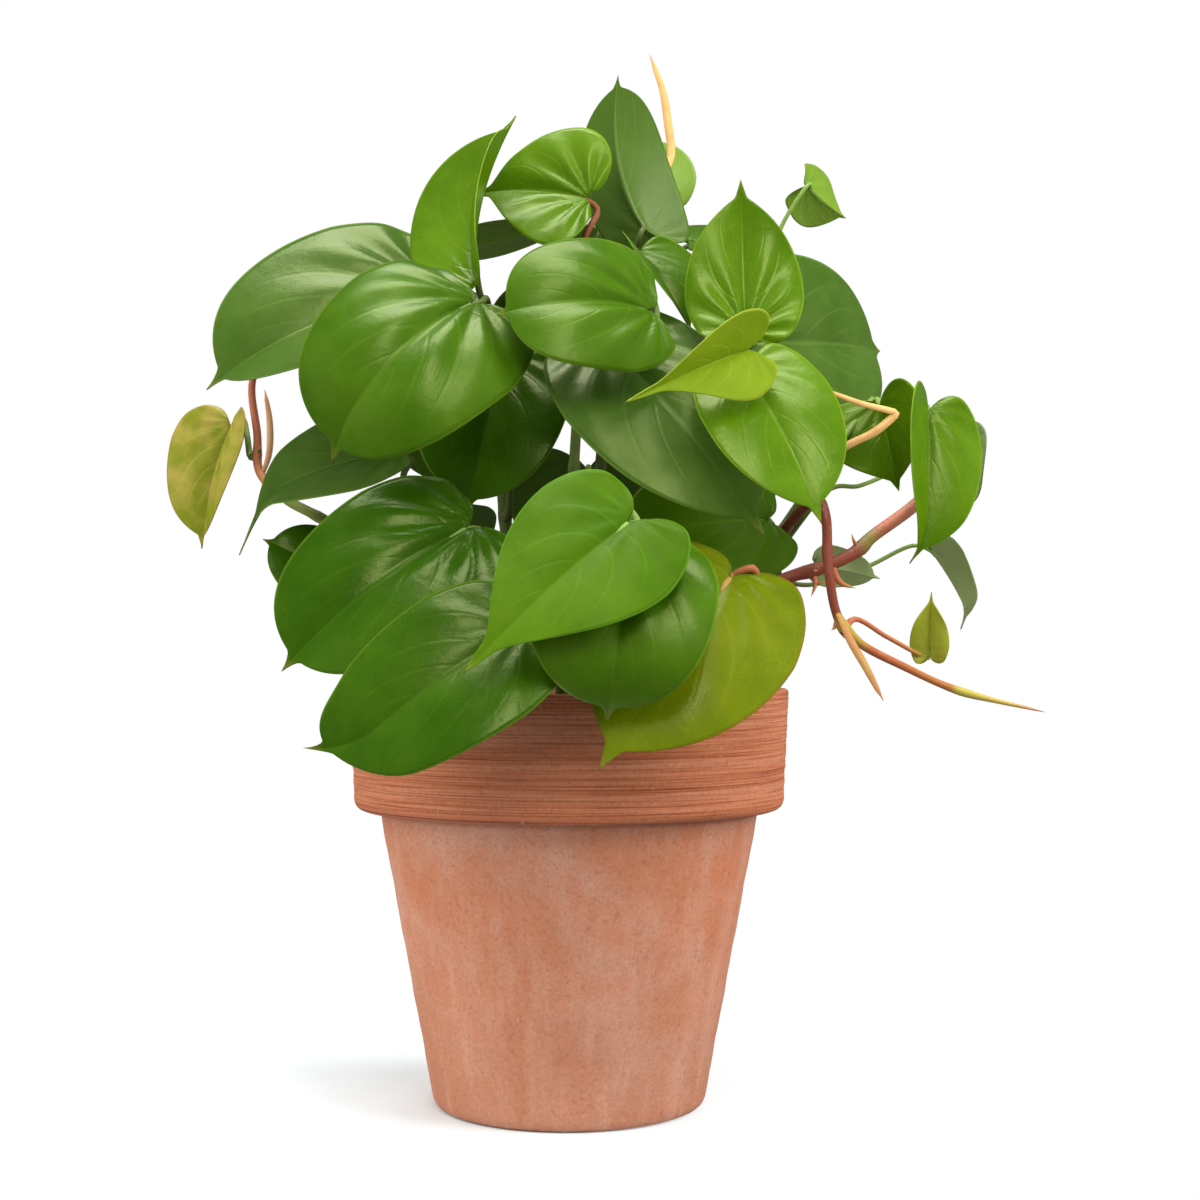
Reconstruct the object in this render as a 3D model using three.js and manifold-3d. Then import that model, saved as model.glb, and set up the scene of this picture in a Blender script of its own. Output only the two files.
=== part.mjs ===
// Potted heartleaf philodendron: a terracotta pot of soil with leafy vines.
// Millimetres, +Z up. The origin is where the pot's axis meets the floor. The front is -Y.
import * as THREE from 'three';
import { mergeVertices } from 'three/addons/utils/BufferGeometryUtils.js';
import Module from 'manifold-3d';

const wasm = await Module();
wasm.setup();

// Clearance between pieces that touch
const GAP = 0.3;

// Pot
const POT_HEIGHT = 141;
const RIM_RADIUS = 75;
const RIM_LOWER_RADIUS = 73.4;
const RIM_BAND = 41;
const RIM_WALL = 6;
const BODY_TOP_RADIUS = 64.6;
const BODY_BASE_RADIUS = 46;
const BODY_WALL = 6.5;
const FLOOR_THICKNESS = 8;
const DRAIN_RADIUS = 9;
const POT_SIDES = 56;

// Soil
const SOIL_LEVEL = 125;
const SOIL_DOME = 3;
const HOLE_DEPTH = 27;
const HOLE_SIDES = 8;

// Vines and leaf stalks
const VINE_SIDES = 6;
const VINE_STEP = 9;
const VINE_END = 0.6;
const STALK_SIDES = 5;
const STALK_STEP = 12;
const STALK_RADIUS = 1.15;
const SHEATH_STEP = 6;
const SHEATH_FLATNESS = 0.55;

// Leaf blades
const BLADE_THICKNESS = 0.7;
const BLADE_ROWS = 8;
const HALF_COLUMNS = 2;
const WAVE_HEIGHT = 1;
const WAVES = 15;
const RUNG_START = 1.6;
const CURL_START = 0.7;

// Colour and roughness of each kind of surface
const TONES = {
  terracotta: [0xb97a58, 0.85],
  soil: [0x3a2a20, 0.95],
  vine_green: [0x5d7a2c, 0.5],
  vine_red: [0x8a4a3c, 0.45],
  deep: [0x2f5c1c, 0.35],
  mid: [0x47801f, 0.35],
  bright: [0x62992a, 0.35],
  lime: [0x93ad3a, 0.4],
  olive: [0x6f8414, 0.35],
  bronze: [0x8a8a3e, 0.45],
  sheath: [0xd9a050, 0.55],
};

const vec = (p) => new THREE.Vector3(...p);

// Each vine: where it stands in the soil, the points it grows through, how thin it ends,
// its leaves and its papery sheaths. A leaf has: at, how far up the vine its stalk leaves it; base and tip,
// the ends of its midrib; face, where its upper side looks; half, half its width; fold,
// how far each half is raised, in degrees; arch, cup and twist, how it bends along, across
// and round its midrib; full, how wide it stays; curl, the turn of its tip; via, its
// stalk's route; swing, how far the stalk dips behind the notch.
const VINES = [
  {
    name: 'vine_left', radius: 2, tone: 'vine_green', foot: [-27, 8],
    through: [[-38, 14, 158], [-62, 20, 186], [-91, 20, 202], [-102, 28, 208], [-113, 38, 219],
      [-114, 40, 232], [-116, 40, 250], [-112, 38, 262]],
    leaves: [
      { name: 'leaf_left_1', tone: 'bronze', at: 0.82, base: [-126, 52, 236], tip: [-136, 50, 191],
        face: [-0.58, -0.81, 0.1], half: 20, fold: [36, 36], arch: 20, full: 0.6,
        via: [[-119, 48, 232]] },
      { name: 'leaf_left_2', tone: 'mid', at: 0.4, base: [-60, -2, 222], tip: [-113, 12, 204],
        face: [-0.1, -0.65, 0.7], half: 22, fold: [20, 25], arch: 30, full: 0.6, curl: [-26, 0],
        via: [[-58, 10, 214]] },
      { name: 'leaf_left_3', tone: 'deep', at: 0.5, base: [-74, 4, 172], tip: [-105, -2, 192],
        face: [-0.2, -0.7, 0.6], half: 17, arch: 40, full: 0.8, via: [[-70, 12, 180]] },
    ],
    sheaths: [
      { name: 'sheath_left', at: 0.78, wide: 1.1,
        through: [[-109, 36, 225], [-109, 37, 237], [-111, 38, 248]] },
    ],
  },
  {
    name: 'vine_upper_left', radius: 2.3, tone: 'vine_green', foot: [-14, -4],
    through: [[-18, -6, 165], [-22, -4, 200], [-24, 2, 235], [-20, 8, 265], [-10, 12, 290]],
    leaves: [
      { name: 'leaf_upper_left_1', tone: 'deep', at: 0.7, base: [-51, 15, 280], tip: [-124, -4, 243],
        face: [-0.15, -0.8, 0.6], half: 38, fold: [30, 20], arch: 40, full: 0.8,
        via: [[-34, 10, 272]] },
      { name: 'leaf_upper_left_2', tone: 'mid', at: 0.76, base: [-31, -45, 266],
        tip: [-75, -62, 217], face: [0, -0.9, 0.4], half: 33, arch: 80, cup: -40, full: 1, curl: [0, -9],
        via: [[-27, -22, 270]] },
      { name: 'leaf_upper_left_3', tone: 'bright', at: 0.85, base: [-31, -22, 278],
        tip: [-18, -12, 335], face: [-0.5, -0.85, 0], half: 27, fold: [10, 68], arch: -25,
        sweep: -0.14, full: 0.8 },
      { name: 'leaf_upper_left_4', tone: 'deep', at: 0.52, base: [-21, -20, 250],
        tip: [-33, -35, 199], face: [0, -0.8, 0.5], half: 25, arch: 30, full: 0.8 },
    ],
  },
  {
    name: 'vine_top', radius: 2.2, tone: 'vine_green', foot: [4, 6],
    through: [[6, 8, 170], [10, 10, 210], [14, 12, 250], [20, 16, 280], [28, 26, 310], [34, 37, 330]],
    leaves: [
      { name: 'leaf_top_1', tone: 'bright', at: 0.72, base: [5, -5, 309], tip: [-33, 7, 312],
        face: [0, -0.7, 0.7], half: 25, fold: [0, 40], arch: 30, full: 0.1,
        via: [[5, -6, 293]] },
      { name: 'leaf_top_2', tone: 'deep', at: 0.84, base: [26, 0, 299], tip: [17, 20, 358],
        face: [0.3, 0.9, 0.2], half: 18, fold: [30, 35], arch: 20, twist: -20, sweep: 0.1,
        full: 1, via: [[21, 4, 288]] },
      { name: 'leaf_top_3', tone: 'bright', at: 0.9, base: [31, 46, 318], tip: [28, 60, 346],
        face: [0.1, 0.9, 0.4], half: 16, arch: 20, full: 0.8 },
      { name: 'leaf_top_4', tone: 'mid', at: 0.58, base: [26, -45, 264], tip: [-22, -58, 260],
        face: [0.1, -0.9, 0.4], half: 25, arch: 60, cup: -30, full: 1,
        via: [[10, -14, 272], [26, -32, 272]] },
      { name: 'leaf_top_5', tone: 'mid', at: 0.68, base: [24, -11, 288], tip: [41, -19, 261],
        face: [0.15, -0.95, 0.32], half: 17.5, fold: [0, 72], arch: 30, full: 0.8, via: [[22, -4, 282]] },
    ],
    sheaths: [
      { name: 'sheath_top', at: 0.97, wide: 1.5,
        through: [[36.5, 38, 334], [35.5, 40, 346], [33.5, 40, 358], [28.5, 40, 371]] },
    ],
  },
  {
    name: 'vine_upper_right', radius: 2.3, tone: 'vine_green', foot: [24, -6],
    through: [[32, -2, 165], [42, 2, 200], [52, 4, 232], [60, 8, 262], [66, 12, 288]],
    leaves: [
      { name: 'leaf_upper_right_1', tone: 'bright', at: 0.6, base: [58, -36, 260],
        tip: [57, -28, 310], face: [0, -1, 0], half: 19.5, arch: -20, full: 0.4,
        via: [[59, -16, 252]] },
      { name: 'leaf_upper_right_2', tone: 'deep', at: 0.7, base: [64, -8, 258], tip: [112, 38, 262],
        face: [0.65, -0.7, 0.25], half: 33, arch: 30, full: 0.8 },
      { name: 'leaf_upper_right_3', tone: 'mid', at: 0.96, base: [84, 19, 317.5], tip: [99.5, 36, 310],
        face: [-0.69, 0.56, -0.22], half: 12, fold: [64, 5], arch: 10, full: 0.5, swing: 0.4,
        via: [[74, 16, 302]] },
      { name: 'leaf_upper_right_4', tone: 'lime', at: 0.52, base: [56, -66, 248],
        tip: [18, -88, 229], face: [0, -0.95, 0.3], half: 15.5, fold: [0, 80], arch: 20, full: -0.4,
        via: [[59, -20, 246], [58, -45, 250]] },
      { name: 'leaf_upper_right_5', tone: 'deep', at: 0.4, base: [14, -36, 253], tip: [62, -62, 190],
        face: [-0.1, -0.75, 0.6], half: 30, fold: [3, 12], arch: 30, full: 0.6,
        via: [[24, -20, 240]] },
      { name: 'leaf_upper_right_6', tone: 'bright', at: 0.44, base: [57, -56, 242],
        tip: [78, -79, 193], face: [0.1, -0.9, 0.4], half: 22, arch: 30, full: 0.6,
        via: [[60, -32, 238]] },
      { name: 'leaf_upper_right_7', tone: 'mid', at: 0.9, base: [44, 27, 300], tip: [79, 45, 297],
        face: [0, -0.5, 0.85], half: 18, arch: 30, full: 0.8 },
    ],
  },
  {
    name: 'vine_right', radius: 1.9, thin: 1.15, tone: 'vine_red', foot: [36, -24],
    through: [[44, -40, 156], [56, -54, 170], [69, -57, 177], [79, -54, 180], [87, -51, 183],
      [94, -47, 187], [97, -45, 190], [116, -32, 204], [124, -18, 216]],
    leaves: [
      { name: 'leaf_right_1', tone: 'olive', at: 0.52, base: [51, -66, 177], tip: [10, -92, 119],
        face: [0.1, -0.9, 0.3], half: 32, fold: [10, -12], arch: 30, swing: 0.6, via: [[58, -65, 180]] },
      { name: 'leaf_right_2', tone: 'bright', at: 0.97, base: [118, -32, 232], tip: [115, -45, 182],
        face: [-0.1, -0.95, 0.3], half: 18, fold: [0, 80], arch: 20, full: 0.7, curl: [5, 0] },
      { name: 'leaf_right_4', tone: 'mid', at: 0.6, base: [81, -39, 182], tip: [101.5, -37, 177.5],
        face: [0.1, 0.85, 0.5], half: 7.5, arch: 20, full: 0.6 },
    ],
  },
  {
    name: 'vine_trailing', radius: 1.8, thin: 0.4, tone: 'vine_red', foot: [42, -4],
    through: [[56, -14, 168], [70, -26, 192], [80, -40, 203], [82, -54, 197], [82, -62, 180],
      [85, -64, 164], [91, -64, 157], [106, -63, 149], [122, -61, 142], [150, -60, 135]],
    leaves: [
      { name: 'leaf_trailing_1', tone: 'lime', at: 0.72, base: [115.5, -50, 153], tip: [116, -51, 173],
        face: [-0.3, -0.95, 0], half: 7, fold: [40, 30], arch: 10, full: 0.1, swing: 0.3,
        via: [[101, -58, 158.5]] },
      { name: 'leaf_trailing_2', tone: 'mid', at: 0.36, base: [123, -10, 188], tip: [136, -12, 163],
        face: [0.8, 0.3, 0.3], half: 9, fold: [40, 40], arch: 20, full: 0.6, curl: [-9, 0],
        via: [[80, -16, 176], [100, -12, 182]] },
      { name: 'leaf_trailing_3', tone: 'bright', at: 0.42, base: [106, -6, 237], tip: [112, -8, 208],
        face: [0, -0.9, 0.3], half: 22, fold: [75, 5], arch: 20, full: 0.3,
        via: [[84, -20, 214], [96, -8, 230]] },
      { name: 'leaf_right_3', tone: 'deep', at: 0.39, base: [138.8, 8, 229], tip: [137.5, 6, 201],
        face: [0.97, 0.2, 0.1], half: 12, arch: 20, full: 0.6, swing: 0.6,
        via: [[86, -22, 207], [100, -2, 210.5], [114, 6, 217]] },
    ],
    sheaths: [
      { name: 'sheath_right', at: 0.5, wide: 1.2, through: [[83, -46, 210], [87, -52, 218], [98, -54, 224],
        [103.4, -54, 228.4], [104.6, -54, 229.8], [102.5, -54, 230.6], [94, -52, 233], [85, -50, 236.5],
        [78, -46, 239.5]] },
      { name: 'sheath_trailing', at: 0.7, wide: 1.7,
        through: [[88, -68, 158], [93, -69, 149], [98, -69, 139]] },
    ],
  },
  {
    name: 'vine_front', radius: 2.2, tone: 'vine_green', foot: [-2, -28],
    through: [[-2, -38, 160], [2, -44, 185], [6, -46, 205]],
    leaves: [
      { name: 'leaf_front_1', tone: 'bright', at: 0.95, base: [19, -88, 193], tip: [-29, -110, 148],
        face: [-0.1, -0.9, 0.35], half: 26, arch: 20, full: 0, via: [[14, -64, 202]] },
      { name: 'leaf_front_2', tone: 'mid', at: 0.75, base: [18, -80, 185], tip: [13, -99, 136],
        face: [0.05, -0.95, 0.3], half: 29, arch: 80, full: 1, curl: [0, -8],
        via: [[10, -60, 190]] },
      { name: 'leaf_front_3', tone: 'deep', at: 0.5, base: [-14, -86, 160], tip: [-70, -98, 117],
        face: [-0.2, -0.85, 0.4], half: 26, arch: 40, full: 0.85, curl: [13, 0],
        via: [[-8, -64, 158]] },
      { name: 'leaf_front_4', tone: 'deep', at: 0.6, base: [-32, -55, 193], tip: [-87, -75, 148],
        face: [-0.2, -0.85, 0.4], half: 31, arch: 40, full: 0.9, via: [[-16, -50, 186]] },
      { name: 'leaf_front_5', tone: 'mid', at: 0.88, base: [65, -31, 197], tip: [14, -48, 189],
        face: [0, -0.9, 0.4], half: 22.5, arch: 30, full: 0.8, via: [[36, -34, 204], [60, -26, 202]] },
    ],
  },
  {
    name: 'vine_back_left', radius: 2.2, tone: 'vine_green', foot: [-20, 26],
    through: [[-28, 34, 160], [-40, 42, 190], [-46, 46, 225], [-44, 44, 262], [-38, 40, 285]],
    leaves: [
      { name: 'leaf_back_left_1', tone: 'mid', at: 0.95, base: [-58, 50, 292], tip: [-104, 62, 262],
        face: [-0.4, 0.7, 0.6], half: 29, arch: 40, full: 0.8 },
      { name: 'leaf_back_left_2', tone: 'deep', at: 0.75, base: [-44, 72, 262], tip: [-52, 104, 214],
        face: [-0.2, 0.85, 0.4], half: 28, arch: 40, full: 0.7 },
      { name: 'leaf_back_left_3', tone: 'mid', at: 0.45, base: [-48, 64, 206], tip: [-78, 92, 158],
        face: [-0.4, 0.8, 0.35], half: 27, arch: 40, full: 0.6 },
    ],
  },
  {
    name: 'vine_back', radius: 2.2, tone: 'vine_green', foot: [2, 30],
    through: [[0, 42, 165], [0, 48, 200], [2, 50, 240], [4, 46, 275], [2, 40, 296]],
    leaves: [
      { name: 'leaf_back_1', tone: 'mid', at: 0.88, base: [0, 64, 284], tip: [-6, 100, 240],
        face: [0, 0.8, 0.6], half: 31, arch: 40, full: 0.8 },
      { name: 'leaf_back_2', tone: 'deep', at: 0.5, base: [6, 78, 222], tip: [4, 112, 168],
        face: [0, 0.9, 0.35], half: 30, arch: 30, full: 0.5 },
      { name: 'leaf_back_3', tone: 'mid', at: 0.25, base: [-16, 76, 176], tip: [-28, 102, 124],
        face: [-0.1, 0.9, 0.3], half: 27, arch: 40, full: 0.7 },
      { name: 'leaf_back_4', tone: 'bright', at: 0.98, base: [-14, 32, 304], tip: [-46, 40, 292],
        face: [-0.1, 0.1, 0.95], half: 20, arch: 40, full: 0.7 },
      { name: 'leaf_back_5', tone: 'bright', at: 0.95, base: [12, 46, 308], tip: [24, 78, 288],
        face: [0.1, 0.6, 0.8], half: 22, arch: 40, full: 0.6 },
    ],
  },
  {
    name: 'vine_back_right', radius: 2.2, tone: 'vine_green', foot: [22, 26],
    through: [[34, 36, 160], [50, 44, 190], [58, 48, 225], [56, 46, 260], [50, 42, 285]],
    leaves: [
      { name: 'leaf_back_right_1', tone: 'mid', at: 0.96, base: [66, 46, 286], tip: [100, 70, 252],
        face: [0.4, 0.7, 0.6], half: 26, arch: 40, full: 0.7 },
      { name: 'leaf_back_right_2', tone: 'deep', at: 0.72, base: [56, 72, 252], tip: [66, 104, 202],
        face: [0.2, 0.85, 0.4], half: 27, arch: 40, full: 0.8 },
      { name: 'leaf_back_right_3', tone: 'mid', at: 0.4, base: [50, 66, 196], tip: [66, 94, 148],
        face: [0.4, 0.8, 0.35], half: 25, arch: 30, full: 0.6 },
      { name: 'leaf_back_right_4', tone: 'deep', at: 0.2, base: [24, 76, 170], tip: [34, 100, 120],
        face: [0.1, 0.9, 0.3], half: 24, arch: 40, full: 0.6 },
    ],
  },
];

// A closed geometry as a solid, and back
function solidOf(geometry) {
  const bare = geometry.index ? geometry.clone() : geometry;
  bare.deleteAttribute('normal');
  bare.deleteAttribute('uv');
  const merged = mergeVertices(bare, 1e-4);
  const mesh = new wasm.Mesh({
    numProp: 3,
    vertProperties: new Float32Array(merged.attributes.position.array),
    triVerts: new Uint32Array(merged.index.array),
  });
  return new wasm.Manifold(mesh);
}

function geometryOf(solid) {
  const mesh = solid.getMesh();
  const geometry = new THREE.BufferGeometry();
  geometry.setAttribute('position', new THREE.BufferAttribute(mesh.vertProperties, 3));
  geometry.setIndex(new THREE.BufferAttribute(mesh.triVerts, 1));
  return geometry;
}

// A stem along a curve: a cylinder whose rings are carried to the curve, and may be flat
function stem(points, radiusAt, sides, step, flatness = 1) {
  const curve = new THREE.CatmullRomCurve3(points, false, 'centripetal');
  const steps = Math.max(3, Math.round(curve.getLength() / step));
  const frames = curve.computeFrenetFrames(steps, false);
  const tube = new THREE.CylinderGeometry(1, 1, 1, sides, steps, false);
  const place = tube.attributes.position;
  for (let i = 0; i < place.count; i += 1) {
    const ring = Math.round((place.getY(i) + 0.5) * steps);
    const radius = radiusAt(ring / steps);
    const centre = curve.getPointAt(ring / steps);
    centre.addScaledVector(frames.normals[ring], -place.getX(i) * radius);
    centre.addScaledVector(frames.binormals[ring], place.getZ(i) * radius * flatness);
    place.setXYZ(i, centre.x, centre.y, centre.z);
  }
  return tube;
}

// Half of a heart-shaped margin, from the stalk round the lobe to the drip tip.
// Sideways it is in half widths, and along the midrib in blade lengths. A full blade
// stays wide towards its tip.
function heartMargin(full) {
  const at = (x, y) => new THREE.Vector2(x, y);
  const mix = THREE.MathUtils.lerp;
  const widest = at(1, mix(0.14, 0.24, full));
  const shoulder = at(1.02, mix(0.5, 0.7, full));
  const taper = at(mix(0.26, 0.7, full), mix(0.7, 0.9, full));
  const neck = at(0.1, mix(0.84, 0.93, full));
  const margin = new THREE.CurvePath();
  margin.add(new THREE.CubicBezierCurve(at(0, 0), at(0.1, -0.15), at(0.84, -0.26), widest));
  margin.add(new THREE.CubicBezierCurve(widest, shoulder, taper, neck));
  margin.add(new THREE.CubicBezierCurve(neck, at(0.05, 0.94), at(0.02, 0.97), at(0, 1)));
  return margin;
}

// Where a leaf's blade is in space, for u from stalk to tip and v from -1 to 1 across it
function bladeSurface(leaf) {
  const base = vec(leaf.base);
  const along = vec(leaf.tip).sub(base);
  const chord = along.length();
  along.normalize();
  const face = vec(leaf.face);
  face.addScaledVector(along, -face.dot(along)).normalize();
  const side = along.clone().cross(face);
  const arch = THREE.MathUtils.degToRad(leaf.arch ?? 30);
  const folds = (leaf.fold ?? [12, 12]).map(THREE.MathUtils.degToRad);
  const cup = THREE.MathUtils.degToRad(leaf.cup ?? -20);
  const twist = THREE.MathUtils.degToRad(leaf.twist ?? 0);
  const sweep = leaf.sweep ?? 0;
  const [curlSide, curlFace] = leaf.curl ?? [0, 0];
  const margin = heartMargin(leaf.full ?? 0.5);
  const spread = chord / (2 * Math.sin(arch / 2));

  return (u, v) => {
    const edge = margin.getPoint(u);
    const rib = u ** RUNG_START;
    const across = Math.abs(v) * edge.x;
    const run = rib + (edge.y - rib) * Math.abs(v);
    const angle = arch * (0.5 - run);
    const forward = along.clone().multiplyScalar(Math.cos(angle));
    forward.addScaledVector(face, Math.sin(angle));
    const up = face.clone().multiplyScalar(Math.cos(angle));
    up.addScaledVector(along, -Math.sin(angle));
    const outward = side.clone().multiplyScalar(Math.cos(twist * run));
    outward.addScaledVector(up, Math.sin(twist * run));
    up.copy(outward).cross(forward);
    const width = across * leaf.half;
    const bank = (v < 0 ? folds[0] : folds[1]) + cup * across / 2;
    const ripple = WAVE_HEIGHT * Math.sin(WAVES * u + 2 * v) * v * v * (1 - run);
    const point = base.clone();
    point.addScaledVector(along, spread * (Math.sin(arch / 2) - Math.sin(angle)));
    point.addScaledVector(face, spread * (Math.cos(angle) - Math.cos(arch / 2)));
    point.addScaledVector(outward, Math.sign(v) * width * Math.cos(bank));
    point.addScaledVector(up, width * Math.sin(bank) + ripple);
    point.addScaledVector(side, sweep * chord * 4 * run * (1 - run));
    const tipward = Math.max(0, (run - CURL_START) / (1 - CURL_START)) ** 2;
    point.addScaledVector(side, curlSide * tipward);
    point.addScaledVector(face, curlFace * tipward);
    return point;
  };
}

// A thin blade: one grid of points, pushed out to an upper and a lower face alike
function blade(leaf) {
  const surface = bladeSurface(leaf);
  const columns = 2 * HALF_COLUMNS;
  const grid = new THREE.PlaneGeometry(1, 1, columns, BLADE_ROWS);
  const place = grid.attributes.position;
  for (let i = 0; i < place.count; i += 1) {
    const point = surface(place.getY(i) + 0.5, 2 * place.getX(i));
    place.setXYZ(i, point.x, point.y, point.z);
  }
  grid.deleteAttribute('normal');
  grid.deleteAttribute('uv');
  const sheet = mergeVertices(grid, 1e-4);
  const corners = [];
  const edges = new Map();
  for (let i = 0; i < sheet.index.count; i += 3) {
    const [a, b, c] = [0, 1, 2].map((k) => sheet.index.getX(i + k));
    if (a === b || b === c || c === a) continue;
    corners.push(a, b, c);
    for (const [p, q] of [[a, b], [b, c], [c, a]]) {
      if (edges.has(`${q},${p}`)) edges.delete(`${q},${p}`);
      else edges.set(`${p},${q}`, [p, q]);
    }
  }
  sheet.setIndex(corners);
  sheet.computeVertexNormals();
  const count = sheet.attributes.position.count;
  const both = new Float32Array(count * 6);
  for (let i = 0; i < count; i += 1) {
    const middle = new THREE.Vector3().fromBufferAttribute(sheet.attributes.position, i);
    const normal = new THREE.Vector3().fromBufferAttribute(sheet.attributes.normal, i);
    const upper = middle.clone().addScaledVector(normal, BLADE_THICKNESS / 2);
    const lower = middle.clone().addScaledVector(normal, -BLADE_THICKNESS / 2);
    both.set(upper.toArray(), i * 3);
    both.set(lower.toArray(), (count + i) * 3);
  }
  const faces = [...corners];
  for (let i = 0; i < corners.length; i += 3) {
    faces.push(corners[i] + count, corners[i + 2] + count, corners[i + 1] + count);
  }
  for (const [p, q] of edges.values()) faces.push(q, p, p + count, q, p + count, q + count);
  const slab = new THREE.BufferGeometry();
  slab.setAttribute('position', new THREE.BufferAttribute(both, 3));
  slab.setIndex(faces);
  return slab;
}

// A turned solid round Z, from an outline of radius and height
function turned(outline, sides) {
  const shape = new THREE.LatheGeometry(outline, sides);
  return shape.rotateX(Math.PI / 2);
}

// The pot's inner wall, from its floor to its mouth
function innerWall(clearance) {
  const bandBottom = POT_HEIGHT - RIM_BAND;
  const taper = (BODY_TOP_RADIUS - BODY_BASE_RADIUS) / bandBottom;
  const floorRadius = BODY_BASE_RADIUS + taper * FLOOR_THICKNESS - BODY_WALL;
  return [
    [floorRadius, FLOOR_THICKNESS],
    [BODY_TOP_RADIUS - BODY_WALL, bandBottom],
    [RIM_RADIUS - RIM_WALL - 2, bandBottom + 14],
    [RIM_RADIUS - RIM_WALL, POT_HEIGHT],
  ].map(([radius, height]) => new THREE.Vector2(radius - clearance, height));
}

// Pot: one turned wall with a rim band, and a drain hole in its floor
function pot() {
  const bandBottom = POT_HEIGHT - RIM_BAND;
  const outline = new THREE.Path();
  outline.moveTo(DRAIN_RADIUS, 0);
  outline.lineTo(BODY_BASE_RADIUS - 3, 0);
  outline.quadraticCurveTo(BODY_BASE_RADIUS - 0.4, 0, BODY_BASE_RADIUS + 0.5, 3);
  outline.lineTo(BODY_TOP_RADIUS, bandBottom);
  outline.lineTo(RIM_LOWER_RADIUS - 4, bandBottom + 0.5);
  outline.quadraticCurveTo(RIM_LOWER_RADIUS, bandBottom + 0.5, RIM_LOWER_RADIUS, bandBottom + 5);
  outline.lineTo(RIM_RADIUS, POT_HEIGHT - 2.5);
  outline.quadraticCurveTo(RIM_RADIUS, POT_HEIGHT, RIM_RADIUS - 2.5, POT_HEIGHT);
  for (const corner of innerWall(0).reverse()) outline.lineTo(corner.x, corner.y);
  outline.lineTo(DRAIN_RADIUS, FLOOR_THICKNESS);
  outline.closePath();
  return solidOf(turned(outline.getPoints(3), POT_SIDES));
}

// Soil: it fills the pot to below the rim, with a plain hole for each vine
function soil() {
  const wall = innerWall(GAP);
  const top = wall[2].clone().lerp(wall[3], (SOIL_LEVEL - wall[2].y) / (POT_HEIGHT - wall[2].y));
  const outline = [
    new THREE.Vector2(0, FLOOR_THICKNESS + GAP),
    new THREE.Vector2(wall[0].x, FLOOR_THICKNESS + GAP),
    wall[1],
    wall[2],
    top,
    new THREE.Vector2(top.x * 0.6, SOIL_LEVEL + SOIL_DOME * 0.7),
    new THREE.Vector2(0, SOIL_LEVEL + SOIL_DOME),
  ];
  let body = solidOf(turned(outline, POT_SIDES));
  for (const vine of VINES) {
    const depth = HOLE_DEPTH + 2 * SOIL_DOME;
    const hole = new THREE.CylinderGeometry(1, 1, depth, HOLE_SIDES);
    hole.scale(vine.radius + 2 * GAP, 1, vine.radius + 2 * GAP);
    hole.rotateX(Math.PI / 2);
    hole.translate(vine.foot[0], vine.foot[1], SOIL_LEVEL - HOLE_DEPTH + depth / 2);
    body = body.subtract(solidOf(hole));
  }
  return body;
}

// The line of a vine: straight up out of its hole in the soil, then through its points
function vineCurve(vine) {
  const [x, y] = vine.foot;
  const low = SOIL_LEVEL - HOLE_DEPTH + GAP;
  const rise = [low, SOIL_LEVEL - 9, SOIL_LEVEL + 3, SOIL_LEVEL + 10].map((z) => [x, y, z]);
  const points = [...rise, ...vine.through].map(vec);
  return new THREE.CatmullRomCurve3(points, false, 'centripetal');
}

// Vine: a round stem that thins towards its growing end
function vineRadius(vine, t) {
  return vine.radius * (1 - (1 - (vine.thin ?? VINE_END)) * t ** 3);
}

function vineSolid(vine) {
  const radiusAt = (t) => vineRadius(vine, t);
  return solidOf(stem(vineCurve(vine).points, radiusAt, VINE_SIDES, VINE_STEP));
}

// Where a leaf or a sheath leaves the vine: a point just off its bark, and the way out
function seatOn(vine, at, toward, thickness) {
  const curve = vineCurve(vine);
  const root = curve.getPointAt(at);
  const heading = curve.getTangentAt(at);
  const out = toward.clone().sub(root);
  out.addScaledVector(heading, -out.dot(heading)).normalize();
  root.addScaledVector(out, vineRadius(vine, at) + thickness + GAP);
  return [root, out];
}

// A leaf: its stalk leaves the vine, comes up behind the heart's notch and runs in
// under the midrib, where it is fused to the blade
function leafSolid(leaf, vine) {
  const surface = bladeSurface(leaf);
  const base = vec(leaf.base);
  const via = (leaf.via ?? []).map(vec);
  const [seat, out] = seatOn(vine, leaf.at, via[0] ?? base, 0);
  const along = vec(leaf.tip).sub(base).normalize();
  const face = vec(leaf.face);
  face.addScaledVector(along, -face.dot(along)).normalize();
  const under = STALK_RADIUS - BLADE_THICKNESS / 2;
  const swing = leaf.swing ?? 1;
  const points = [
    seat,
    seat.clone().addScaledVector(out, 4),
    ...via,
    base.clone().addScaledVector(along, -4 * swing).addScaledVector(face, -5 * swing),
    base.clone().addScaledVector(along, 0.5).addScaledVector(face, -under),
    surface(0.22, 0).addScaledVector(face, -under),
  ];
  const radiusAt = (t) => STALK_RADIUS * (1.2 - 0.2 * t);
  const stalk = solidOf(stem(points, radiusAt, STALK_SIDES, STALK_STEP));
  return stalk.add(solidOf(blade(leaf)));
}

// Sheath: the thin papery leaf that wrapped a young shoot. It widens, then runs to a point.
function sheathSolid(sheath, vine) {
  const radiusAt = (t) => sheath.wide * (0.3 + 0.7 * Math.sin(Math.PI * (0.12 + 0.85 * t)));
  const through = sheath.through.map(vec);
  const [seat] = seatOn(vine, sheath.at, through[0], radiusAt(0));
  const points = [seat, ...through];
  return solidOf(stem(points, radiusAt, STALK_SIDES, SHEATH_STEP, SHEATH_FLATNESS));
}

const plant = new THREE.Group();

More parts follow.
